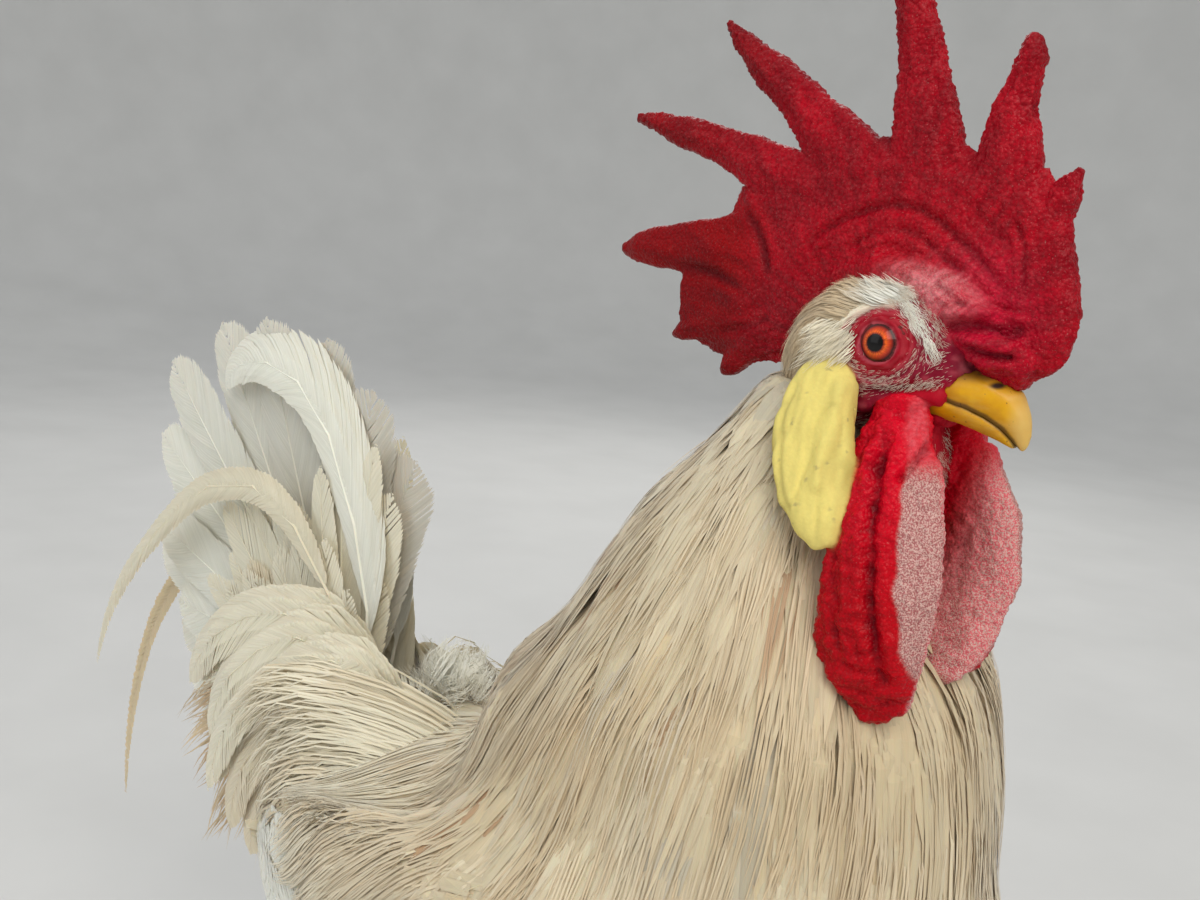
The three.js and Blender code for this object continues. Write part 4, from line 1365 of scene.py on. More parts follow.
def place_on_trunk(p):
    return cell("trunk", bearing(p[:, 1], p[:, 2] - TRUNK_AXIS), share(p[:, 0], -60, 250))


def place_on_leg(p):
    side = np.where(p[:, 1] > 0, 0.5, 0.0)
    x, y = LEG_AXIS
    a = bearing(np.abs(p[:, 1]) - y, p[:, 0] - x)
    return cell("leg", side + 0.48 * a, share(p[:, 2], 100, 210))


def place_on_wing(p):
    a, b = share(p[:, 0], -50, 205), share(p[:, 2], 185, 300)
    left, right = cell("wing_L", a, b), cell("wing_R", a, b)
    return np.where(p[:, 1:2] > 0, left, right)


def hackle_flow(p):
    """Away from the crown down the neck, then round the shoulders to the back and under the breast."""
    fan = unit(p - CROWN + np.array([0, 0, 1e-3]))
    down = np.array([-0.12, 0.0, -1.0])
    side = np.sign(p[:, 1:2]) * np.array([0, 0.35, 0])
    back = np.array([-0.85, 0.0, -0.85]) + side
    low = step(300 - p[:, 2], 0, 95)[:, None]
    front = step(p[:, 0], 100, 180)[:, None]
    body = back * (1 - front) + (down + 0.4 * side) * front
    return unit(fan * (1 - 0.85 * low) + unit(body) * low)


def trunk_flow(p):
    """Back along the flanks, down the breast, under the belly and down the thighs."""
    side = np.sign(p[:, 1:2]) * np.array([0, 0.30, 0])
    back = np.array([-0.85, 0, -0.75]) + 1.4 * side * step(p[:, 2], 225, 270)[:, None]
    breast = np.array([-0.35, 0, -1.0])
    belly = np.array([-1.0, 0, -0.1])
    leg = np.array([-0.35, 0, -1.0])
    front = step(p[:, 0], 150, 215)[:, None]
    under = step(205 - p[:, 2], 0, 35)[:, None]
    thigh = step(175 - p[:, 2], 0, 25)[:, None] * step(np.abs(p[:, 1]), 14, 24)[:, None]
    flow = back * (1 - front) + breast * front
    flow = flow * (1 - under) + (belly * (1 - 0.5 * front) + breast * 0.5 * front) * under
    return unit(flow * (1 - thigh) + leg * thigh)


def wing_flow(p):
    """Towards the wing's tip, each feather keeping its place between the wing's edges."""
    mid, half = follow(WING_LINE, p[:, 0])
    mid2, half2 = follow(WING_LINE, p[:, 0] - 10)
    aim = mid2 + np.clip((p[:, 2] - mid) / half, -1.1, 1.1) * half2
    return unit(np.stack([0 * mid - 10, 0 * mid, 0.6 * (aim - p[:, 2])], axis=1))


def lifts(rng, m, points, level, root=-3.0, vary=1.2, tip=0.8):
    """Heights along feathers over the coat's outline: they grow from below, and their tips stand proud."""
    u = np.linspace(0, 1, points)[None]
    level = np.reshape(level, (-1, 1)) + rng.uniform(-vary, vary, (m, 1))
    return root + (level - root) * step(u, 0, 0.45) + tip * rng.random((m, 1)) * u**2


def wavy(flow, amount, scale, seed):
    """A flow that wanders a little from place to place, so that feathers lie in loose tresses."""

    def wandering(p):
        aside = np.stack([noise(p, scale, seed + k) for k in range(3)], axis=1)
        return unit(flow(p) + amount * aside)

    return wandering


def bare_front(p):
    """1 on the bare skin of the face and throat, where no coat grows."""
    q = to_head(p)
    return step(q[:, 0], -10, -6) * step(q[:, 2], -66, -58)


HACKLE_LAYERS = [  # name, feathers, strands in each, half their width, rings, height over the outline, nodes
    ("hackle_under", 580, 6, 2.4, 4, -0.2, []),
    ("hackle_middle", 630, 9, 0.75, 5, 0.1, ["neck"]),
    ("hackle_outer", 660, 9, 0.30, 5, 0.45, []),
]


def hackle(body, look, rng):
    """The neck's long feathers in three layers, each finer than the one under it."""
    p = body.middles
    weight = body.on("neck") * step(p[:, 2], 238, 262) * step(422 - p[:, 2], 0, 5) * (1 - bare_front(p))
    weight = weight * curve(p[:, 2], (240, 1.0), (340, 1.1), (390, 2.2), (420, 3.0))
    for name, count, children, half, rings, level, nodes in HACKLE_LAYERS:
        coat = Coat(name, look, "feather_ivory")
        root = scatter(body, count, weight, rng)
        z = root[:, 2]
        length = curve(z, (235, 66), (300, 84), (350, 76), (385, 50), (405, 28), (420, 16))
        length = length * rng.uniform(0.8, 1.15, count)
        depth = -3.5 * step(430 - z, 0, 60)[:, None] - 0.5
        lift = lifts(rng, count, 9, root=depth, level=level, vary=0.45, tip=0.9)
        flow = wavy(hackle_flow, 0.20, (26, 26, 48), 171 + round(10 * half))
        ribbons = march(body, root, flow, length, 9, lift)
        streak = step(noise(root, (9, 9, 60), 91), 0.0, 0.7)
        base = mix(plain(IVORY, count), BUFF, 0.34 * streak)
        pale = 0.45 * (1 - bump(z, 345, 70))
        base = mix(base, CREAM, np.maximum(pale, 0.5 * step(noise(root, 30, 92), 0, 0.6)))
        base = mix(base, BUFF, 0.15 + 0.20 * step(root[:, 0], 160, 190))
        tone = plumage(base, rng, rust=0.012, vary=0.08)
        spread = curve(z, (240, 5.6), (330, 5.0), (380, 3.4), (420, 1.6))
        locks(coat, ribbons, place_on_neck(root), tone, rng, children, spread, half, rings, 0.15, 0.8)
        coat.build(*nodes)


def contour(
    body, look, rng, name, slot, weight, count, place, length, width, base=CREAM, level=0.0, nodes=()
):
    """A piece of overlapping contour feathers; length and width are functions of the root's place."""
    coat = Coat(name, look, slot)
    root = scatter(body, count, weight, rng)
    long = length(root) * rng.uniform(0.85, 1.15, count)
    ribbons = march(body, root, trunk_flow, long, 7, lifts(rng, count, 7, level=level))
    shade = mix(plain(base, count), IVORY, 0.85 * step(root[:, 2], 235, 255))
    shade = mix(shade, BUFF, 0.25 * step(noise(root, (22, 22, 30), 95), 0.1, 0.8))
    tone = plumage(shade, rng, buff=0.10, grey=0.06, vary=0.07)
    wide = width(root) * rng.uniform(0.9, 1.1, count)
    vanes(coat, ribbons, place(root), tone, rng, wide, 10, 30.0, 2, split=0.35, shaft=0.3)
    coat.build(*nodes)


def trunk_length(p):
    return curve(p[:, 0], (-45, 34), (60, 40), (150, 38), (240, 32))


def trunk_width(p):
    return curve(p[:, 0], (-45, 7.5), (60, 8.5), (150, 7.0), (240, 5.8))


def thigh_length(p):
    return curve(p[:, 2], (110, 12), (150, 22), (190, 28))


def thigh_width(p):
    return curve(p[:, 2], (110, 3.2), (150, 5.5), (190, 6.5))


def trunk_coat(body, look, rng):
    """Contour feathers of the breast, the flanks, the back and the thighs, and the saddle over them."""
    p = body.middles
    trunk = np.maximum(body.on("trunk"), body.on("wing_L", "wing_R") * step(p[:, 2], 254, 264))
    back = step(p[:, 2], 225, 250) * step(150 - p[:, 0], 0, 30)
    front = step(p[:, 0], 130, 170)
    low = body.on("neck") * step(275 - p[:, 2], 0, 20) * front
    on_trunk = (place_on_trunk, trunk_length, trunk_width)
    pieces = [  # name, slot, weight, feathers, colour, height over the outline, CAD nodes
        ("breast_coat", "feather_ivory", front * (trunk + low), 560, IVORY, 0.0, ["trunk"]),
        ("flank_coat", "feather_cream", trunk * (1 - front) * (1 - back), 400, CREAM, 0.0, []),
        ("back_coat", "feather_cream", trunk * back * (1 - front), 280, 0.3 * CREAM + 0.7 * IVORY, -1.5, []),
    ]
    for name, slot, weight, count, base, level, nodes in pieces:
        contour(body, look, rng, name, slot, weight, count, *on_trunk, base, level, nodes)
    on_thigh = (place_on_leg, thigh_length, thigh_width)
    for node in ("thigh_L", "thigh_R"):
        name = "thigh_coat_" + node[-1]
        contour(body, look, rng, name, "feather_cream", body.on(node), 150, *on_thigh, nodes=[node])
    saddle(body, look, rng, trunk)


def saddle(body, look, rng, trunk, count=640):
    """Long silky feathers from the back that droop over the folded wings and the rump."""
    p = body.middles
    area = np.maximum(trunk, body.on("neck") * step(290 - p[:, 2], 0, 20))
    over_wing = body.on("wing_L", "wing_R") * step(150 - p[:, 0], 0, 20) * step(p[:, 2], 252, 262)
    area = np.maximum(area, over_wing)
    weight = area * step(p[:, 2], 228, 244) * step(165 - p[:, 0], 0, 20)
    coat = Coat("saddle_hackle", look, "feather_ivory")
    root = scatter(body, count, weight, rng)
    length = curve(root[:, 0], (-45, 46), (20, 64), (120, 72)) * rng.uniform(0.8, 1.15, count)
    length = length * curve(root[:, 2], (250, 0.4), (266, 0.7), (280, 1.0))
    level = curve(root[:, 0], (-45, 2.6), (10, 2.0), (90, 1.7), (150, 0.8))
    flow = wavy(trunk_flow, 0.22, (40, 26, 26), 175)
    lift = lifts(rng, count, 9, root=-2.0, level=level, vary=0.6, tip=1.4)
    ribbons = march(body, root, flow, length, 9, lift)
    base = mix(plain(CREAM, count), IVORY, 0.75 * step(root[:, 0], 20, 110))
    tone = plumage(base, rng, buff=0.12, grey=0.08, rust=0.012, vary=0.08)
    locks(coat, ribbons, place_on_trunk(root), tone, rng, 8, 5.4, 0.42, 5)
    coat.build()


WING_ROWS = [  # x of the roots, length, half width, height over the outline
    (188, 14, 5.2, -0.6), (181, 15, 5.4, -0.4), (173, 17, 5.8, -0.2), (164, 19, 6.2, 0.0),
    (154, 22, 6.8, 0.2), (143, 26, 7.4, 0.2), (130, 33, 8.0, 0.1), (113, 46, 8.8, 0.0),
    (88, 92, 9.6, -0.5), (54, 84, 9.0, -0.9), (20, 62, 8.0, -1.2),
]
WING_BARBS = [(14, 9), (30, 16), (60, 26)]  # from which length on, barbs on each side
WING_OUTSIDE = 120.0  # farther to the side than any part of the body
WING_TOP = 0.65  # where the rows end, between the wing's lower edge (-1) and its upper edge (1)
WING_FILL = 0.9  # the share of the wing's height on which feathers grow
WING_SPACING = 0.95  # from feather to feather in a row, compared with their half width


def wing_coat(body, look, side, rng):
    """Rows of coverts from the shoulder back, then the long feathers of the folded wing."""
    sign = 1 if side == "L" else -1
    coat = Coat("wing_coat_" + side, look, "feather_white")
    for x, length, width, level in WING_ROWS:
        mid, half = follow(WING_LINE, x)
        reach = WING_FILL * half
        count = max(3, round((1 + WING_TOP) * reach / (WING_SPACING * width)))
        v = np.linspace(-1, WING_TOP, count)
        z = mid + v * reach + rng.uniform(-0.8, 0.8, count)
        bowed = x + 6 * (1 - v**2) - 3 + rng.uniform(-1.5, 1.5, count)
        root, _ = body.nearest(np.stack([bowed, 0 * z + sign * WING_OUTSIDE, z], axis=1))
        long = length * rng.uniform(0.93, 1.07, count)
        own = level - 0.8 * np.clip(v + 0.3, 0, 1)
        lift = lifts(rng, count, 9, root=level - 3.0, level=own, vary=0.15, tip=0.5)
        ribbons = march(body, root, wing_flow, long, 9, lift)
        base = mix(mix(plain(CREAM, count), IVORY, 0.75), WHITE, curve(length, (18, 0.0), (50, 0.8)))
        tone = plumage(base, rng, buff=0.08, grey=0.05, vary=0.05)
        barbs = [number for least, number in WING_BARBS if length >= least][-1]
        style = {"cup": 0.08, "blunt": 0.5, "split": 0.4, "shaft": 0.35 + length / 200}
        vanes(coat, ribbons, place_on_wing(root), tone, rng, width, barbs, 30.0, 3, **style)
    coat.build("wing_" + side)


# ---------- the tail: places are x, z from where its feathers come together ----------
RECTRICES = [  # lift in degrees, length, half width, bend in degrees, for each side from the top down
    (101, 112, 17, 14), (88, 128, 18, 12), (75, 144, 18, 10), (62, 158, 18, 8), (50, 172, 18, 6),
    (38, 180, 17, 3), (27, 172, 16.5, 0), (16, 152, 16, -4), (5, 134, 15, -8), (-8, 120, 14, -10),
]
# The four long curved feathers.
CURLED = [
    (22, 18), (22, 46), (17, 70), (5, 96), (-11, 119), (-29, 131), (-47, 135), (-65, 134), (-78, 128),
    (-84, 120),
]
SLIT = [(8, 18), (15, 44), (16, 68), (11, 90), (2, 106), (-8, 116), (-17, 121)]
ARCHED = [
    (16, 20), (10, 48), (-3, 65), (-20, 80), (-41, 87), (-65, 84), (-91, 74), (-123, 50), (-155, 20),
    (-174, -7), (-184, -30),
]
PLUME = [
    (6, 14), (-8, 46), (-50, 66), (-105, 58), (-150, 38), (-178, 10), (-196, -12), (-210, -38),
    (-220, -73), (-223, -103), (-221, -124),
]
DROOPING = [  # covert feathers that droop from the rump over the tail's base
    [(52, 4), (40, 34), (14, 32), (-12, 14), (-30, -12), (-37, -33)],
    [(50, -4), (34, 21), (8, 14), (-10, -8), (-20, -30), (-22, -44)],
    [(42, 8), (20, 40), (-6, 36), (-26, 20), (-38, 2), (-44, -14)],
    [(48, -14), (28, 10), (8, -2), (-4, -22), (-9, -40), (-10, -52)],
    [(38, 10), (12, 42), (-16, 42), (-38, 30), (-54, 14), (-62, 0)],
]
RUMP_LINES = [  # the highest and the lowest silky feather from the back over the rump: x, distance aside, z
    [(88, 6, 12), (64, 20, 26), (38, 34, 34), (10, 44, 30), (-14, 46, 8)],
    [(92, 28, -12), (70, 38, -6), (48, 45, -10), (30, 48, -26), (20, 46, -50)],
]
TAIL_STRIPS = 320  # more than the tail has feathers


class TailPatches:
    """Gives every tail feather its own strip of the tail's cell on the OFBake map."""

    def __init__(self, total):
        self.total, self.used = total, 0

    def __call__(self, count):
        first, self.used = self.used, self.used + count

        def patch(s, side):
            a = (first + np.arange(count)[:, None] + 0.15 + 0.7 * side) / self.total + 0 * s
            return cell("tail", a.ravel(), (s + 0 * a).ravel())

        return patch


def swept(start, lift, bend, length, sign, out, points=9):
    """Feathers that leave start (M, 3) at lift degrees above straight back and turn by bend on their way."""
    m = len(start)
    u = np.linspace(0, 1, points)[None]
    angle = np.radians(np.reshape(lift, (-1, 1)) + np.reshape(bend, (-1, 1)) * (u - 0.15))
    sign, out = np.reshape(sign, (-1, 1)) + 0 * angle, np.reshape(out, (-1, 1)) + 0 * angle
    ahead = unit(np.stack([-np.cos(angle), sign * out, np.sin(angle)], axis=-1))
    stride = np.broadcast_to(np.asarray(length, float), (m,))[:, None, None] / (points - 1)
    moves = np.concatenate([0 * ahead[:, :1], ahead[:, 1:]], axis=1) * stride
    centre = start[:, None] + np.cumsum(moves, axis=1)
    up = square_to(np.stack([0 * sign, sign, 0 * sign], axis=-1), ahead)
    return Ribbons(centre, up, np.broadcast_to(np.asarray(length, float), (m,)))


def side_line(knots, y, points, tilt):
    """One long feather through (x, z) knots, y to the side, its outer face tilted up."""
    u = np.linspace(0, 1, points)
    flat = spline(knots, u)
    aside = np.interp(u, np.linspace(0, 1, len(y)), y)
    centre = TAIL + np.stack([flat[:, 0], aside, flat[:, 1]], axis=1)
    length = np.linalg.norm(np.diff(centre, axis=0), axis=1).sum()
    ahead = unit(np.gradient(centre, axis=0))
    up = np.array([0, np.sign(y[0] + y[-1]), 0.0]) + tilt * UP
    up = unit(up - (ahead @ up)[:, None] * ahead)
    return Ribbons(centre[None], up[None], [length])


def tail_fan(look, patches, rng):
    """The stiff tail feathers, ten on each side, the left ones lower and farther back."""
    coat = Coat("tail_coat", look, "feather_white")
    count = len(RECTRICES)
    style = {"cup": 0.06, "rise": 0.08, "bare": 0.14, "blunt": 1.0, "split": 0.45, "shaft": 0.9}
    for sign, lower, back in ((-1, -3, -2), (1, 18, -10)):
        lift, length, width, bend = np.array(RECTRICES, float).T
        lift = lift - lower
        v = np.linspace(0, 1, count)
        place = [back + 0 * v, sign * (2 + 3 * (1 - v)), 6 * np.sin(np.radians(lift))]
        start = TAIL + np.stack(place, axis=1)
        for k in range(count):
            ribbon = swept(start[k : k + 1], lift[k], bend[k], length[k], sign, 0.03 + 0.02 * (k % 2), 11)
            grey = curve(lift[k], (30, 0.04), (60, 0.45), (100, 0.80))
            base = mix(0.8 * WHITE[None] + 0.2 * CREAM, GREY, grey)
            tone = plumage(base, rng, buff=0, grey=0, vary=0.035)
            vanes(coat, ribbon, None, tone, rng, width[k], 84, 30.0, 3, patch=patches(1), **style)
    coat.build("tail_fan")


SICKLES = [  # name, knots, distances to the side, half width, bluntness, colour, lean, CAD node
    (
        "sickle_curled_R", CURLED, (-15, -17, -17, -15), 13.5, 0.3, 0.7 * WHITE + 0.3 * CREAM, 0.25,
        "sickle_front_R",
    ),
    ("sickle_curled_L", SLIT, (6, 4, 1, -2), 9.5, 0.0, WHITE, 0.1, "sickle_front_L"),
    (
        "sickle_arched_R", ARCHED, (-20, -25, -25, -22), 7.0, -0.2, 0.7 * CREAM + 0.3 * IVORY, 0.0,
        "sickle_back_R",
    ),
    (
        "sickle_plume_L", PLUME, (18, 20, 17, 12), 4.6, -0.4, BUFF * 0.5 + IVORY * 0.5, 0.0,
        "sickle_back_L",
    ),
]


def sickles(look, patches, rng):
    """The four long curved feathers, each a piece of its own."""
    style = {"cup": 0.2, "rise": 0.12, "bare": 0.12, "split": 0.7, "shaft": 0.9}
    for name, knots, y, width, blunt, base, lean, node in SICKLES:
        coat = Coat(name, look, "feather_white")
        ribbon = side_line(knots, y, 21, 0.25)
        tone = plumage(base[None], rng, buff=0, grey=0, vary=0.05)
        own = {"blunt": blunt, "lean": lean, "patch": patches(1)}
        vanes(coat, ribbon, None, tone, rng, width, 80, 24.0, 4, **own, **style)
        coat.build(node)


def drooping_coverts(coat, patches, sign, rng):
    """Long coverts that droop over the tail's base, two of each kind."""
    style = {"cup": 0.2, "rise": 0.06, "bare": 0.03, "blunt": 0.1, "split": 0.6, "shaft": 0.5}
    for k, knots in enumerate(DROOPING):
        for copy in range(2):
            shift = np.array([3.0, 2.5]) * copy + rng.uniform(-2, 2, 2)
            y = sign * (np.array([18, 38, 45, 44]) - 3 * copy - 1.2 * k)
            low = np.array([-18.0, -20.0]) * (sign > 0)
            ribbon = side_line(np.array(knots) + shift + low, y, 13, 0.3)
            base = mix(CREAM[None], BUFF, 0.35 * (k % 2) + 0.1)
            tone = plumage(base, rng, buff=0.1, grey=0, vary=0.06)
            vanes(coat, ribbon, None, tone, rng, 12 - copy, 64, 22.0, 3, patch=patches(1), **style)


def soft_coverts(coat, patches, sign, rng, count=56):
    """Soft feathers all round the tail's base."""
    lift = np.linspace(-15, 98 - 16 * (sign > 0), count) + rng.uniform(-3, 3, count)
    reach = rng.uniform(4, 40, count)
    a = np.radians(lift)
    aside = sign * (8 + 9 * rng.random(count) + 0.12 * (40 - reach))
    start = TAIL + np.stack([8 - reach * np.cos(a), aside, reach * np.sin(a)], axis=1)
    ribbons = swept(start, lift, rng.uniform(0, 22, count), rng.uniform(46, 80, count), sign, 0.02, 9)
    tone = plumage(plain(CREAM, count), rng, buff=0.1, grey=0, vary=0.05)
    width = rng.uniform(9, 13, count)
    style = {"cup": 0.10, "rise": 0.03, "bare": 0.04, "blunt": 0.35, "split": 0.3, "shaft": 0.4}
    vanes(coat, ribbons, None, tone, rng, width, 42, 25.0, 2, patch=patches(count), **style)


def rump_hackle(look, rng, count=240):
    """Silky feathers from the back over the rump, on both sides of the tail's base."""
    coat = Coat("rump_hackle", look, "feather_cream")
    high = rng.random((count, 1, 1))
    knots = np.array(RUMP_LINES[0]) * high + np.array(RUMP_LINES[1]) * (1 - high)
    knots = knots + rng.normal(0, 2.0, (count, 1, 3))
    knots[..., 0] += rng.uniform(-14, 10, (count, 1))
    knots[..., 1] *= rng.choice([-1.0, 1.0], (count, 1))
    knots[..., 2] -= 9 * (knots[..., 1] > 0)
    centre = TAIL + np.stack([spline(k, np.linspace(0, 1, 9)) for k in knots])
    outward = np.stack([0 * high[:, 0], np.sign(knots[:, -1:, 1]), 0.5 + 0 * high[:, 0]], axis=-1)
    up = np.broadcast_to(unit(outward), centre.shape)
    ribbons = Ribbons(centre, up, np.full(count, 85.0))
    tone = plumage(plain(0.9 * CREAM + 0.1 * IVORY, count), rng, buff=0.15, grey=0.03, rust=0.02, vary=0.08)
    locks(coat, ribbons, place_on_trunk(centre[:, 0]), tone, rng, 8, 5.0, 0.5, 5)
    coat.build()


def under_tail_down(look, rng, count=150):
    """Buff down that hangs under the tail."""
    coat = Coat("under_tail_down", look, "feather_buff")
    lift = rng.uniform(-34, 6, count)
    a = np.radians(lift)
    reach = rng.uniform(30, 85, count)
    place = [-reach * np.cos(a), rng.uniform(-14, 14, count), reach * np.sin(a) - 4]
    start = TAIL + np.stack(place, axis=1)
    bend, length = rng.uniform(-40, -10, count), rng.uniform(38, 58, count)
    ribbons = swept(start, lift - 20, bend, length, np.sign(start[:, 1]), 0.1)
    base = plain(0.75 * BUFF + 0.25 * IVORY, count)
    tone = plumage(base, rng, buff=0.2, grey=0.1, rust=0.08, vary=0.12)
    spot = cell("tail", rng.uniform(0.9, 1, count), rng.random(count))
    locks(coat, ribbons, spot, tone, rng, 9, 6, 0.5, 5, 1.2, 1.6)
    coat.build()


def rump_down(look, rng, count=130):
    """A tuft of white down on the back in front of the tail."""
    coat = Coat("rump_down", look, "feather_white")
    start = TAIL + np.array([50, 2, 28]) + rng.normal(0, 1, (count, 3)) * np.array([6, 6, 3])
    lift, bend, length = (rng.uniform(lo, hi, count) for lo, hi in ((40, 150), (-40, 40), (11, 19)))
    ribbons = swept(start, lift, bend, length, rng.choice([-1.0, 1.0], count), 0.6)
    tone = plumage(plain(WHITE, count), rng, buff=0, grey=0, vary=0.04)
    locks(coat, ribbons, place_on_trunk(start), tone, rng, 11, 3.4, 0.17, 3, 1.2, 1.2)
    coat.build()


def rump(look, patches, rng):
    """Everything round the tail's base."""
    for sign, side in ((-1, "R"), (1, "L")):
        coat = Coat("tail_coverts_" + side, look, "feather_buff")
        drooping_coverts(coat, patches, sign, rng)
        soft_coverts(coat, patches, sign, rng)
        coat.build("covert_back_" + side)
    rump_hackle(look, rng)
    under_tail_down(look, rng)
    rump_down(look, rng)


# ---------- the skin under the coat, and the scaled legs ----------
ARM_BACK = 84.0  # the wing's flesh ends here; behind it there are only flight feathers
SKIN = np.array([0.70, 0.50, 0.40])
DOWNY = np.array([0.74, 0.66, 0.52])
LEG_YELLOW = np.array([0.66, 0.40, 0.07])
LEG_PALE = np.array([0.74, 0.56, 0.24])
LEG_DARK = np.array([0.30, 0.15, 0.03])
SCUTE = 6.4  # height of a scute on the shank
TOE_SCUTE = 4.6
TOE_TOP = 22.0  # height under which the scales are those of the toes
SMALL_SCALE = 2.6
FOLLICLE = 5.0  # distance between the bumps that feathers grow from


def coat_depth(p):
    """How far the skin lies inside the coat's outline."""
    high = curve(p[:, 2], (150, 6), (250, 8), (330, 6.5), (380, 4.0), (410, 2.4), (430, 1.2))
    leg = curve(p[:, 2], (108, 1.0), (125, 2.5), (150, 4.5), (190, 7.0))
    return np.minimum(high, leg)


def body_flesh(voxel=3.5):
    """The body inside its coat, with the follicles of the feathers, and the colour of its points."""
    arms = cad("wing_L", "wing_R")
    arms.v[:, 0] = np.maximum(arms.v[:, 0], ARM_BACK)
    made = remesh(joined(cad("neck", "trunk", "thigh_L", "thigh_R"), arms), 2.6).smooth(6)
    made.v = made.v - coat_depth(made.v)[:, None] * made.relaxed(made.normals(), 4)
    made = remesh(made, voxel).smooth(3)
    bumps = granules(made.v, FOLLICLE, 131)
    tract = step(noise(made.v, 26, 132), -0.1, 0.5)
    colour = mix(plain(SKIN, len(made.v)), DOWNY, 0.45 + 0.4 * tract)
    colour = colour * (0.92 + 0.10 * bumps)[:, None]
    made.v = made.v + (0.35 * bumps)[:, None] * made.normals()
    return made, colour


def leg_flesh(voxel=1.05):
    """Shanks and toes with rows of broad scutes in front and on top, small scales behind and pads below."""
    made = remesh(cad("shank_L", "foot_L", "shank_R", "foot_R", grow=0.2), voxel).smooth(8)
    p = np.stack([made.v[:, 0], np.abs(made.v[:, 1]), made.v[:, 2]], axis=1)
    n = made.relaxed(made.normals(), 3)
    lo, hi = (np.array(b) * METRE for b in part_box("shank_L"))
    # the shank's middle line runs from top to foot
    top = np.array([lo[0] + 8.5, (lo[1] + hi[1]) / 2, hi[2]])
    foot = np.array([hi[0] - 6.5, top[1], lo[2]])
    down = (p - top) @ unit(foot - top)
    aside = p[:, 1] - top[1]
    other_row = np.where(aside > 0.6, 0.5, 0.0)
    toe = step(TOE_TOP - p[:, 2], 0, 6)
    on_toe = toe > 0.5
    out = np.hypot(p[:, 0] - foot[0], p[:, 1] - foot[1])
    row = np.where(on_toe, out / TOE_SCUTE, down / SCUTE + other_row)
    part = row - np.floor(row)
    edge = np.minimum(part, 1 - part) * np.where(on_toe, TOE_SCUTE, SCUTE)
    front = np.where(on_toe, step(n[:, 2], -0.05, 0.35), step(n[:, 0], -0.25, 0.15))
    groove = np.exp(-((edge / 0.55) ** 2)) * front
    seam = np.exp(-(((aside - 0.6) / 0.5) ** 2)) * front * (1 - toe) * step(n[:, 0], 0.2, 0.6)
    small = granules(p, SMALL_SCALE, 141) * (1 - front)
    swell = 0.35 * np.clip(part * (1.6 - part), 0, 1) * front
    height = swell - 0.50 * np.maximum(groove, seam) + 0.40 * small - 0.1
    worn = step(noise(p, (9, 9, 7), 142), -0.1, 0.7)
    colour = mix(plain(LEG_YELLOW, len(p)), LEG_PALE, 0.55 * worn * (1 - small))
    colour = mix(colour, LEG_DARK, 0.7 * np.maximum(groove, seam) + 0.30 * (1 - small) * (1 - front))
    colour = mix(colour, SKIN, step(p[:, 2], 110, 122))
    made.v = made.v + height[:, None] * made.normals()
    return made, colour


SKIN_VALUES = ("grain", "wet", "bloom")


def nearest_values(points, sources):
    """For each point, the row of values of the nearest point of all the sources, (surface, rows) each."""
    best = np.full(len(points), 1e9)
    values = np.zeros((len(points), sources[0][1].shape[1]))
    for source, rows in sources:
        lo, hi = source.v.min(0) - 1, source.v.max(0) + 1
        inside = np.nonzero(np.all((points > lo) & (points < hi), axis=1))[0]
        tree = KDTree(len(source.v))
        for i, q in enumerate(source.v.tolist()):
            tree.insert(q, i)
        tree.balance()
        found = [tree.find(q) for q in points[inside].tolist()]
        far = np.array([hit[2] for hit in found])
        near = far < best[inside]
        spots, picks = inside[near], np.array([hit[1] for hit in found])[near]
        best[spots] = far[near]
        values[spots] = rows[picks]
    return values


def skin():
    """The one skin: head and its comb, lobes and wattles, the body inside its coat, and the legs."""
    head, head_tone, part, bloom = head_flesh()
    body, body_tone = body_flesh()
    legs, leg_tone = leg_flesh()
    whole = united([body, head, legs])
    rough = part["comb"] + 0.7 * part["wattle"] + 0.2
    fleshy = part["comb"] + part["wattle"]
    pieces = [  # surface, colour, then grain, wet and bloom
        (head, head_tone, rough, fleshy, bloom),
        (body, body_tone, 0.15, 0, 0),
        (legs, leg_tone, 0, 0.35, 0),
    ]
    sources = []
    for surface, tone, *singles in pieces:
        columns = [np.broadcast_to(single, len(tone)) for single in singles]
        sources.append((surface, np.column_stack([tone, *columns])))
    values = nearest_values(whole.v, sources)
    obj = add_mesh("skin", whole.v, whole.f)
    shade_smooth(obj)
    paint_points(obj, "tone", values[:, :3])
    for name, column in zip(SKIN_VALUES, values[:, 3:].T):
        paint_points(obj, name, column)
    obj.data.materials.append(flesh_look())
    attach(obj, "root")
    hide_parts(*HEAD_NODES, "shank_L", "shank_R", "foot_L", "foot_R")


# ---------- the head's small feathers and bristles ----------
BRISTLE_BANDS = [  # (x, z) knots from the eye, half width, share
    ([(-9, 17), (-2, 16), (4, 13.5), (8, 10), (11.5, 4.5), (13, -2)], 1.4, 0.9),
    ([(-9, -6.5), (-3, -8.6), (4, -9.2), (10, -8.2), (14, -7.4)], 1.2, 0.8),
    ([(-12, 0), (-11, -4.5), (-7, -9), (0, -12.5), (8, -13)], 1.8, 0.22),
]
BROW = [(-7, 18), (-2, 16.5), (3, 13.5), (7.5, 9), (11, 4), (13.5, -0.5)]  # x, z from the eye
EAR = np.array([-11.5, 17.5, 0.5])  # the left one, in the head's frame
PALE = np.array([0.80, 0.66, 0.54])


class Scalp(Surface):
    """The head's own skin, coarse, for small feathers to grow on."""

    def __init__(self):
        made = remesh(cad("head", grow=0.2), 1.0).smooth(6)
        super().__init__(made.v, triangles(made.f))
        self.index()
        self.q = to_head(self.v[self.f].mean(axis=1))
        self.aside = np.abs(self.q[:, 1])


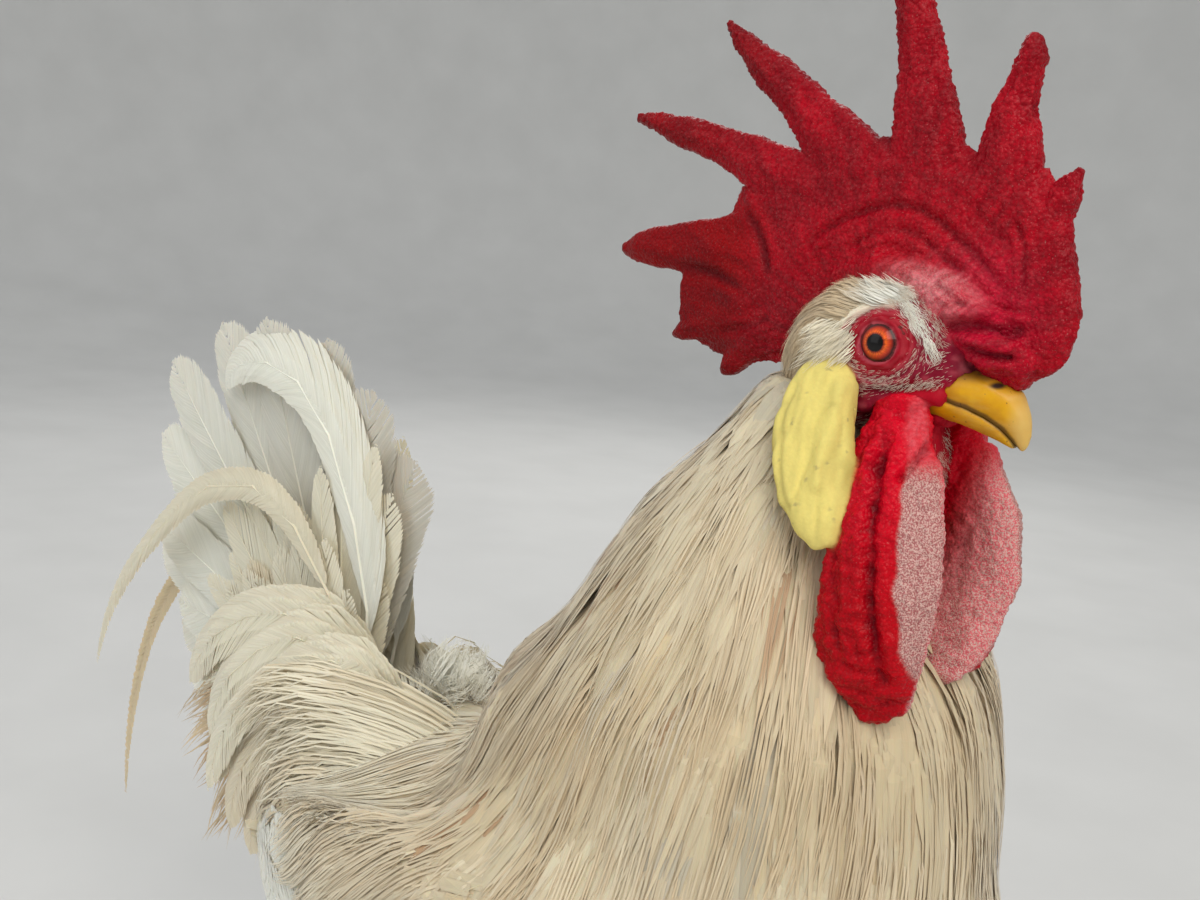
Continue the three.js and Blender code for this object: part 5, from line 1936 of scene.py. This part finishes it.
def place_on_head(p):
    q = to_head(p)
    return cell("head", share(q[:, 0], -35, 25) * 0.5 + 0.5 * (q[:, 1] > 0), share(q[:, 2], -58, 22))


def head_flow(p):
    """Back from the bill, round the eyes, over the crown and down the nape."""
    q = to_head(p)
    away = unit(np.stack([q[:, 0] - 26, 0.25 * q[:, 1], 0.55 * q[:, 2] + 1.5], axis=1))
    nape = np.array([-0.45, 0.0, -1.0])
    low = step(-q[:, 0], 14, 26)[:, None]
    return from_along_head(unit(away * (1 - low) + nape * low))


def crown_coat(scalp, look, rng, count=780):
    """Short feathers on crown and nape, the tufts over the ears and the fringe before the eyes: one piece."""
    q = scalp.q
    weight = step(crown_line(q), -1.0, 1.5) * step(q[:, 2], -16, -8)
    weight = weight * curve(q[:, 0], (-30, 0.6), (-15, 1.0), (0, 1.8), (8, 1.8))
    coat = Coat("crown_coat", look, "feather_ivory")
    root = scatter(scalp, count, weight, rng)
    q = to_head(root)
    length = curve(q[:, 0], (-30, 15), (-15, 11), (-5, 7.5), (8, 6)) * rng.uniform(0.8, 1.2, count)
    lift = np.linspace(0, 1, 6)[None] * rng.uniform(0.9, 2.4, (count, 1))
    lift = lift * curve(q[:, 0], (-15, 0.8), (0, 1.5))[:, None] + 0.15
    ribbons = march(scalp, root, head_flow, length, 6, lift)
    fringe = step(q[:, 0], -9, -3)
    base = mix(mix(plain(IVORY, count), BUFF, 0.45), WHITE, fringe)
    tone = plumage(base, rng, buff=0.12, grey=0.03, vary=0.08)
    locks(coat, ribbons, place_on_head(root), tone, rng, 7, 1.4, 0.175, 3, 0.35, 0.2)
    ear_tufts(coat, scalp, rng)
    brow_fringe(coat, scalp, rng)
    coat.build()


def ear_tufts(coat, scalp, rng, count=230):
    """Small feathers that hang over the openings of the ears."""
    side = rng.choice([-1.0, 1.0], count)
    ear = EAR + rng.normal(0, 1, (count, 3)) * np.array([2.6, 0.5, 2.4])
    ear[:, 1] *= side
    root, out = scalp.nearest(from_head(ear))
    aim = unit(np.stack([rng.uniform(-0.9, -0.2, count), 0.35 * side, rng.uniform(-1.1, -0.5, count)], 1))
    aim = unit(from_along_head(aim) + 0.55 * out)
    length = rng.uniform(5, 9, count)
    u = np.linspace(0, 1, 5)[None, :, None]
    centre = root[:, None] + aim[:, None] * u * length[:, None, None] - UP * (u**2 * 1.2)
    ribbons = Ribbons(centre, np.repeat(out[:, None], 5, axis=1), length)
    tone = plumage(plain(CREAM, count), rng, buff=0.1, grey=0.1, vary=0.08)
    locks(coat, ribbons, place_on_head(root), tone, rng, 5, 1.0, 0.13, 4, 0.5, 0.4)


def brow_fringe(coat, scalp, rng, count=300):
    """The white fringe before each eye: fine strands that run down from the comb towards the gape."""
    u = rng.beta(1.1, 1.6, count)
    start = spline(BROW, u)
    ahead = unit(spline(BROW, np.minimum(u + 0.06, 1)) - start + 1e-6)
    aside = np.stack([-ahead[:, 1], ahead[:, 0]], axis=1) * rng.normal(0, 1, (count, 1))
    flat = start + aside * (2.0 - 1.3 * u[:, None])
    side = rng.choice([-1.0, 1.0], count)
    root, out = scalp.nearest(from_head(np.stack([flat[:, 0], side * 14, flat[:, 1]], axis=1)))
    aim = ahead[:, :1] * FORE + ahead[:, 1:] * UP + rng.normal(0, 0.14, (count, 3))
    length = rng.uniform(3.0, 5.0, count)
    t = np.linspace(0, 1, 5)[None, :, None]
    rise = 0.2 + 1.1 * t * (1 - 0.5 * t)
    centre = root[:, None] + square_to(aim, out)[:, None] * t * length[:, None, None] + out[:, None] * rise
    ribbons = Ribbons(centre, np.repeat(out[:, None], 5, axis=1), length)
    tone = plumage(plain(WHITE, count), rng, buff=0.15, grey=0.05, vary=0.08)
    locks(coat, ribbons, place_on_head(root), tone, rng, 5, 0.8, 0.065, 3, 0.4, 0.3)


def bristle_weight(scalp):
    """Where bristles grow: rows round the eyes, bands before and below them, thin on cheeks and throat."""
    q = scalp.q
    ring = np.hypot(q[:, 0], q[:, 2] * 1.06)
    bare = step(-crown_line(q), -1.5, 0.5) * step(scalp.aside, 5, 8)
    rows = step(np.cos((ring - 7.2) * 4.2), -0.4, 0.6)
    weight = 0.75 * step(ring, 6.3, 6.9) * step(12.5 - ring, 0, 3) * rows
    for knots, half, amount in BRISTLE_BANDS:
        far, _ = line(q, knots)
        weight = np.maximum(weight, amount * np.exp(-((far / half) ** 2)))
    weight = np.maximum(weight, 0.07 * step(-q[:, 2], -2, 6))
    throat = step(-q[:, 2], 18, 26) * 0.3
    return weight * bare * step(19 - q[:, 0], 0, 3) + throat * step(50 + q[:, 2], 0, 6)


def bristles(scalp, look, rng, count=10000):
    """Tiny pale bristles on the face and throat, each one strand."""
    coat = Coat("face_bristles", look, "feather_white")
    root = scatter(scalp, count, bristle_weight(scalp), rng)
    q = to_head(root)
    near = step(15 - np.hypot(q[:, 0], q[:, 2]), 0, 4)[:, None]
    turn = np.where(q[:, 2:] > 0, 1.0, -1.0)
    round_eye = turn * np.stack([-q[:, 2], 0 * q[:, 0], q[:, 0]], axis=1)
    aim = unit(np.array([-1.0, 0, -0.30]) * (1 - 0.75 * near) + unit(round_eye) * 0.8 * near)
    aim = from_along_head(aim)
    aim = unit(aim + rng.normal(0, 0.16, aim.shape))
    _, out = scalp.nearest(root)
    length = np.where(q[:, 2] < -18, rng.uniform(2.5, 4.5, count), rng.uniform(0.7, 1.5, count))
    band = curve(q[:, 2], (-6, 1.0), (4, 1.25), (14, 1.9))
    length = length * np.where(q[:, 0] > -10, band, 1.0)
    u = np.linspace(0, 1, 3)[None, :, None]
    rise = rng.uniform(0.35, 0.75, (count, 1, 1)) + 0.5 * step(q[:, 2], 9, 14)[:, None, None]
    run = square_to(aim, out)[:, None] * u + out[:, None] * rise * u * (1 - 0.35 * u)
    centre = root[:, None] + length[:, None, None] * run + 0.25 * out[:, None]
    half = np.interp(u[..., 0], [0, 0.5, 1], [1, 0.8, 0.2]) * rng.uniform(0.03, 0.05, (count, 1))
    shade = PALE * rng.uniform(0.72, 1.02, (count, 1, 1)) + 0 * centre
    up = np.repeat(out[:, None], 3, 1)
    along = u[..., 0] + 0 * half
    coat.strands(centre, up, half, half * 0.9, place_on_head(root), 0 * half + 0.5, along, shade)
    coat.build()


# ---------- the whole bird ----------
camera()
backdrop()
lights()
eyes()
bill()
claws_and_spurs()
skin()
body = Body()
feather = feather_look("feather")
hackle(body, feather, RNG)
trunk_coat(body, feather, RNG)
for side in "LR":
    wing_coat(body, feather, side, RNG)
patches = TailPatches(TAIL_STRIPS)
tail_fan(feather, patches, RNG)
sickles(feather, patches, RNG)
rump(feather, patches, RNG)
scalp = Scalp()
down = feather_look("down", 0.7, 0.2, 6.0, 0.2)
crown_coat(scalp, down, RNG)
bristles(scalp, down, RNG)
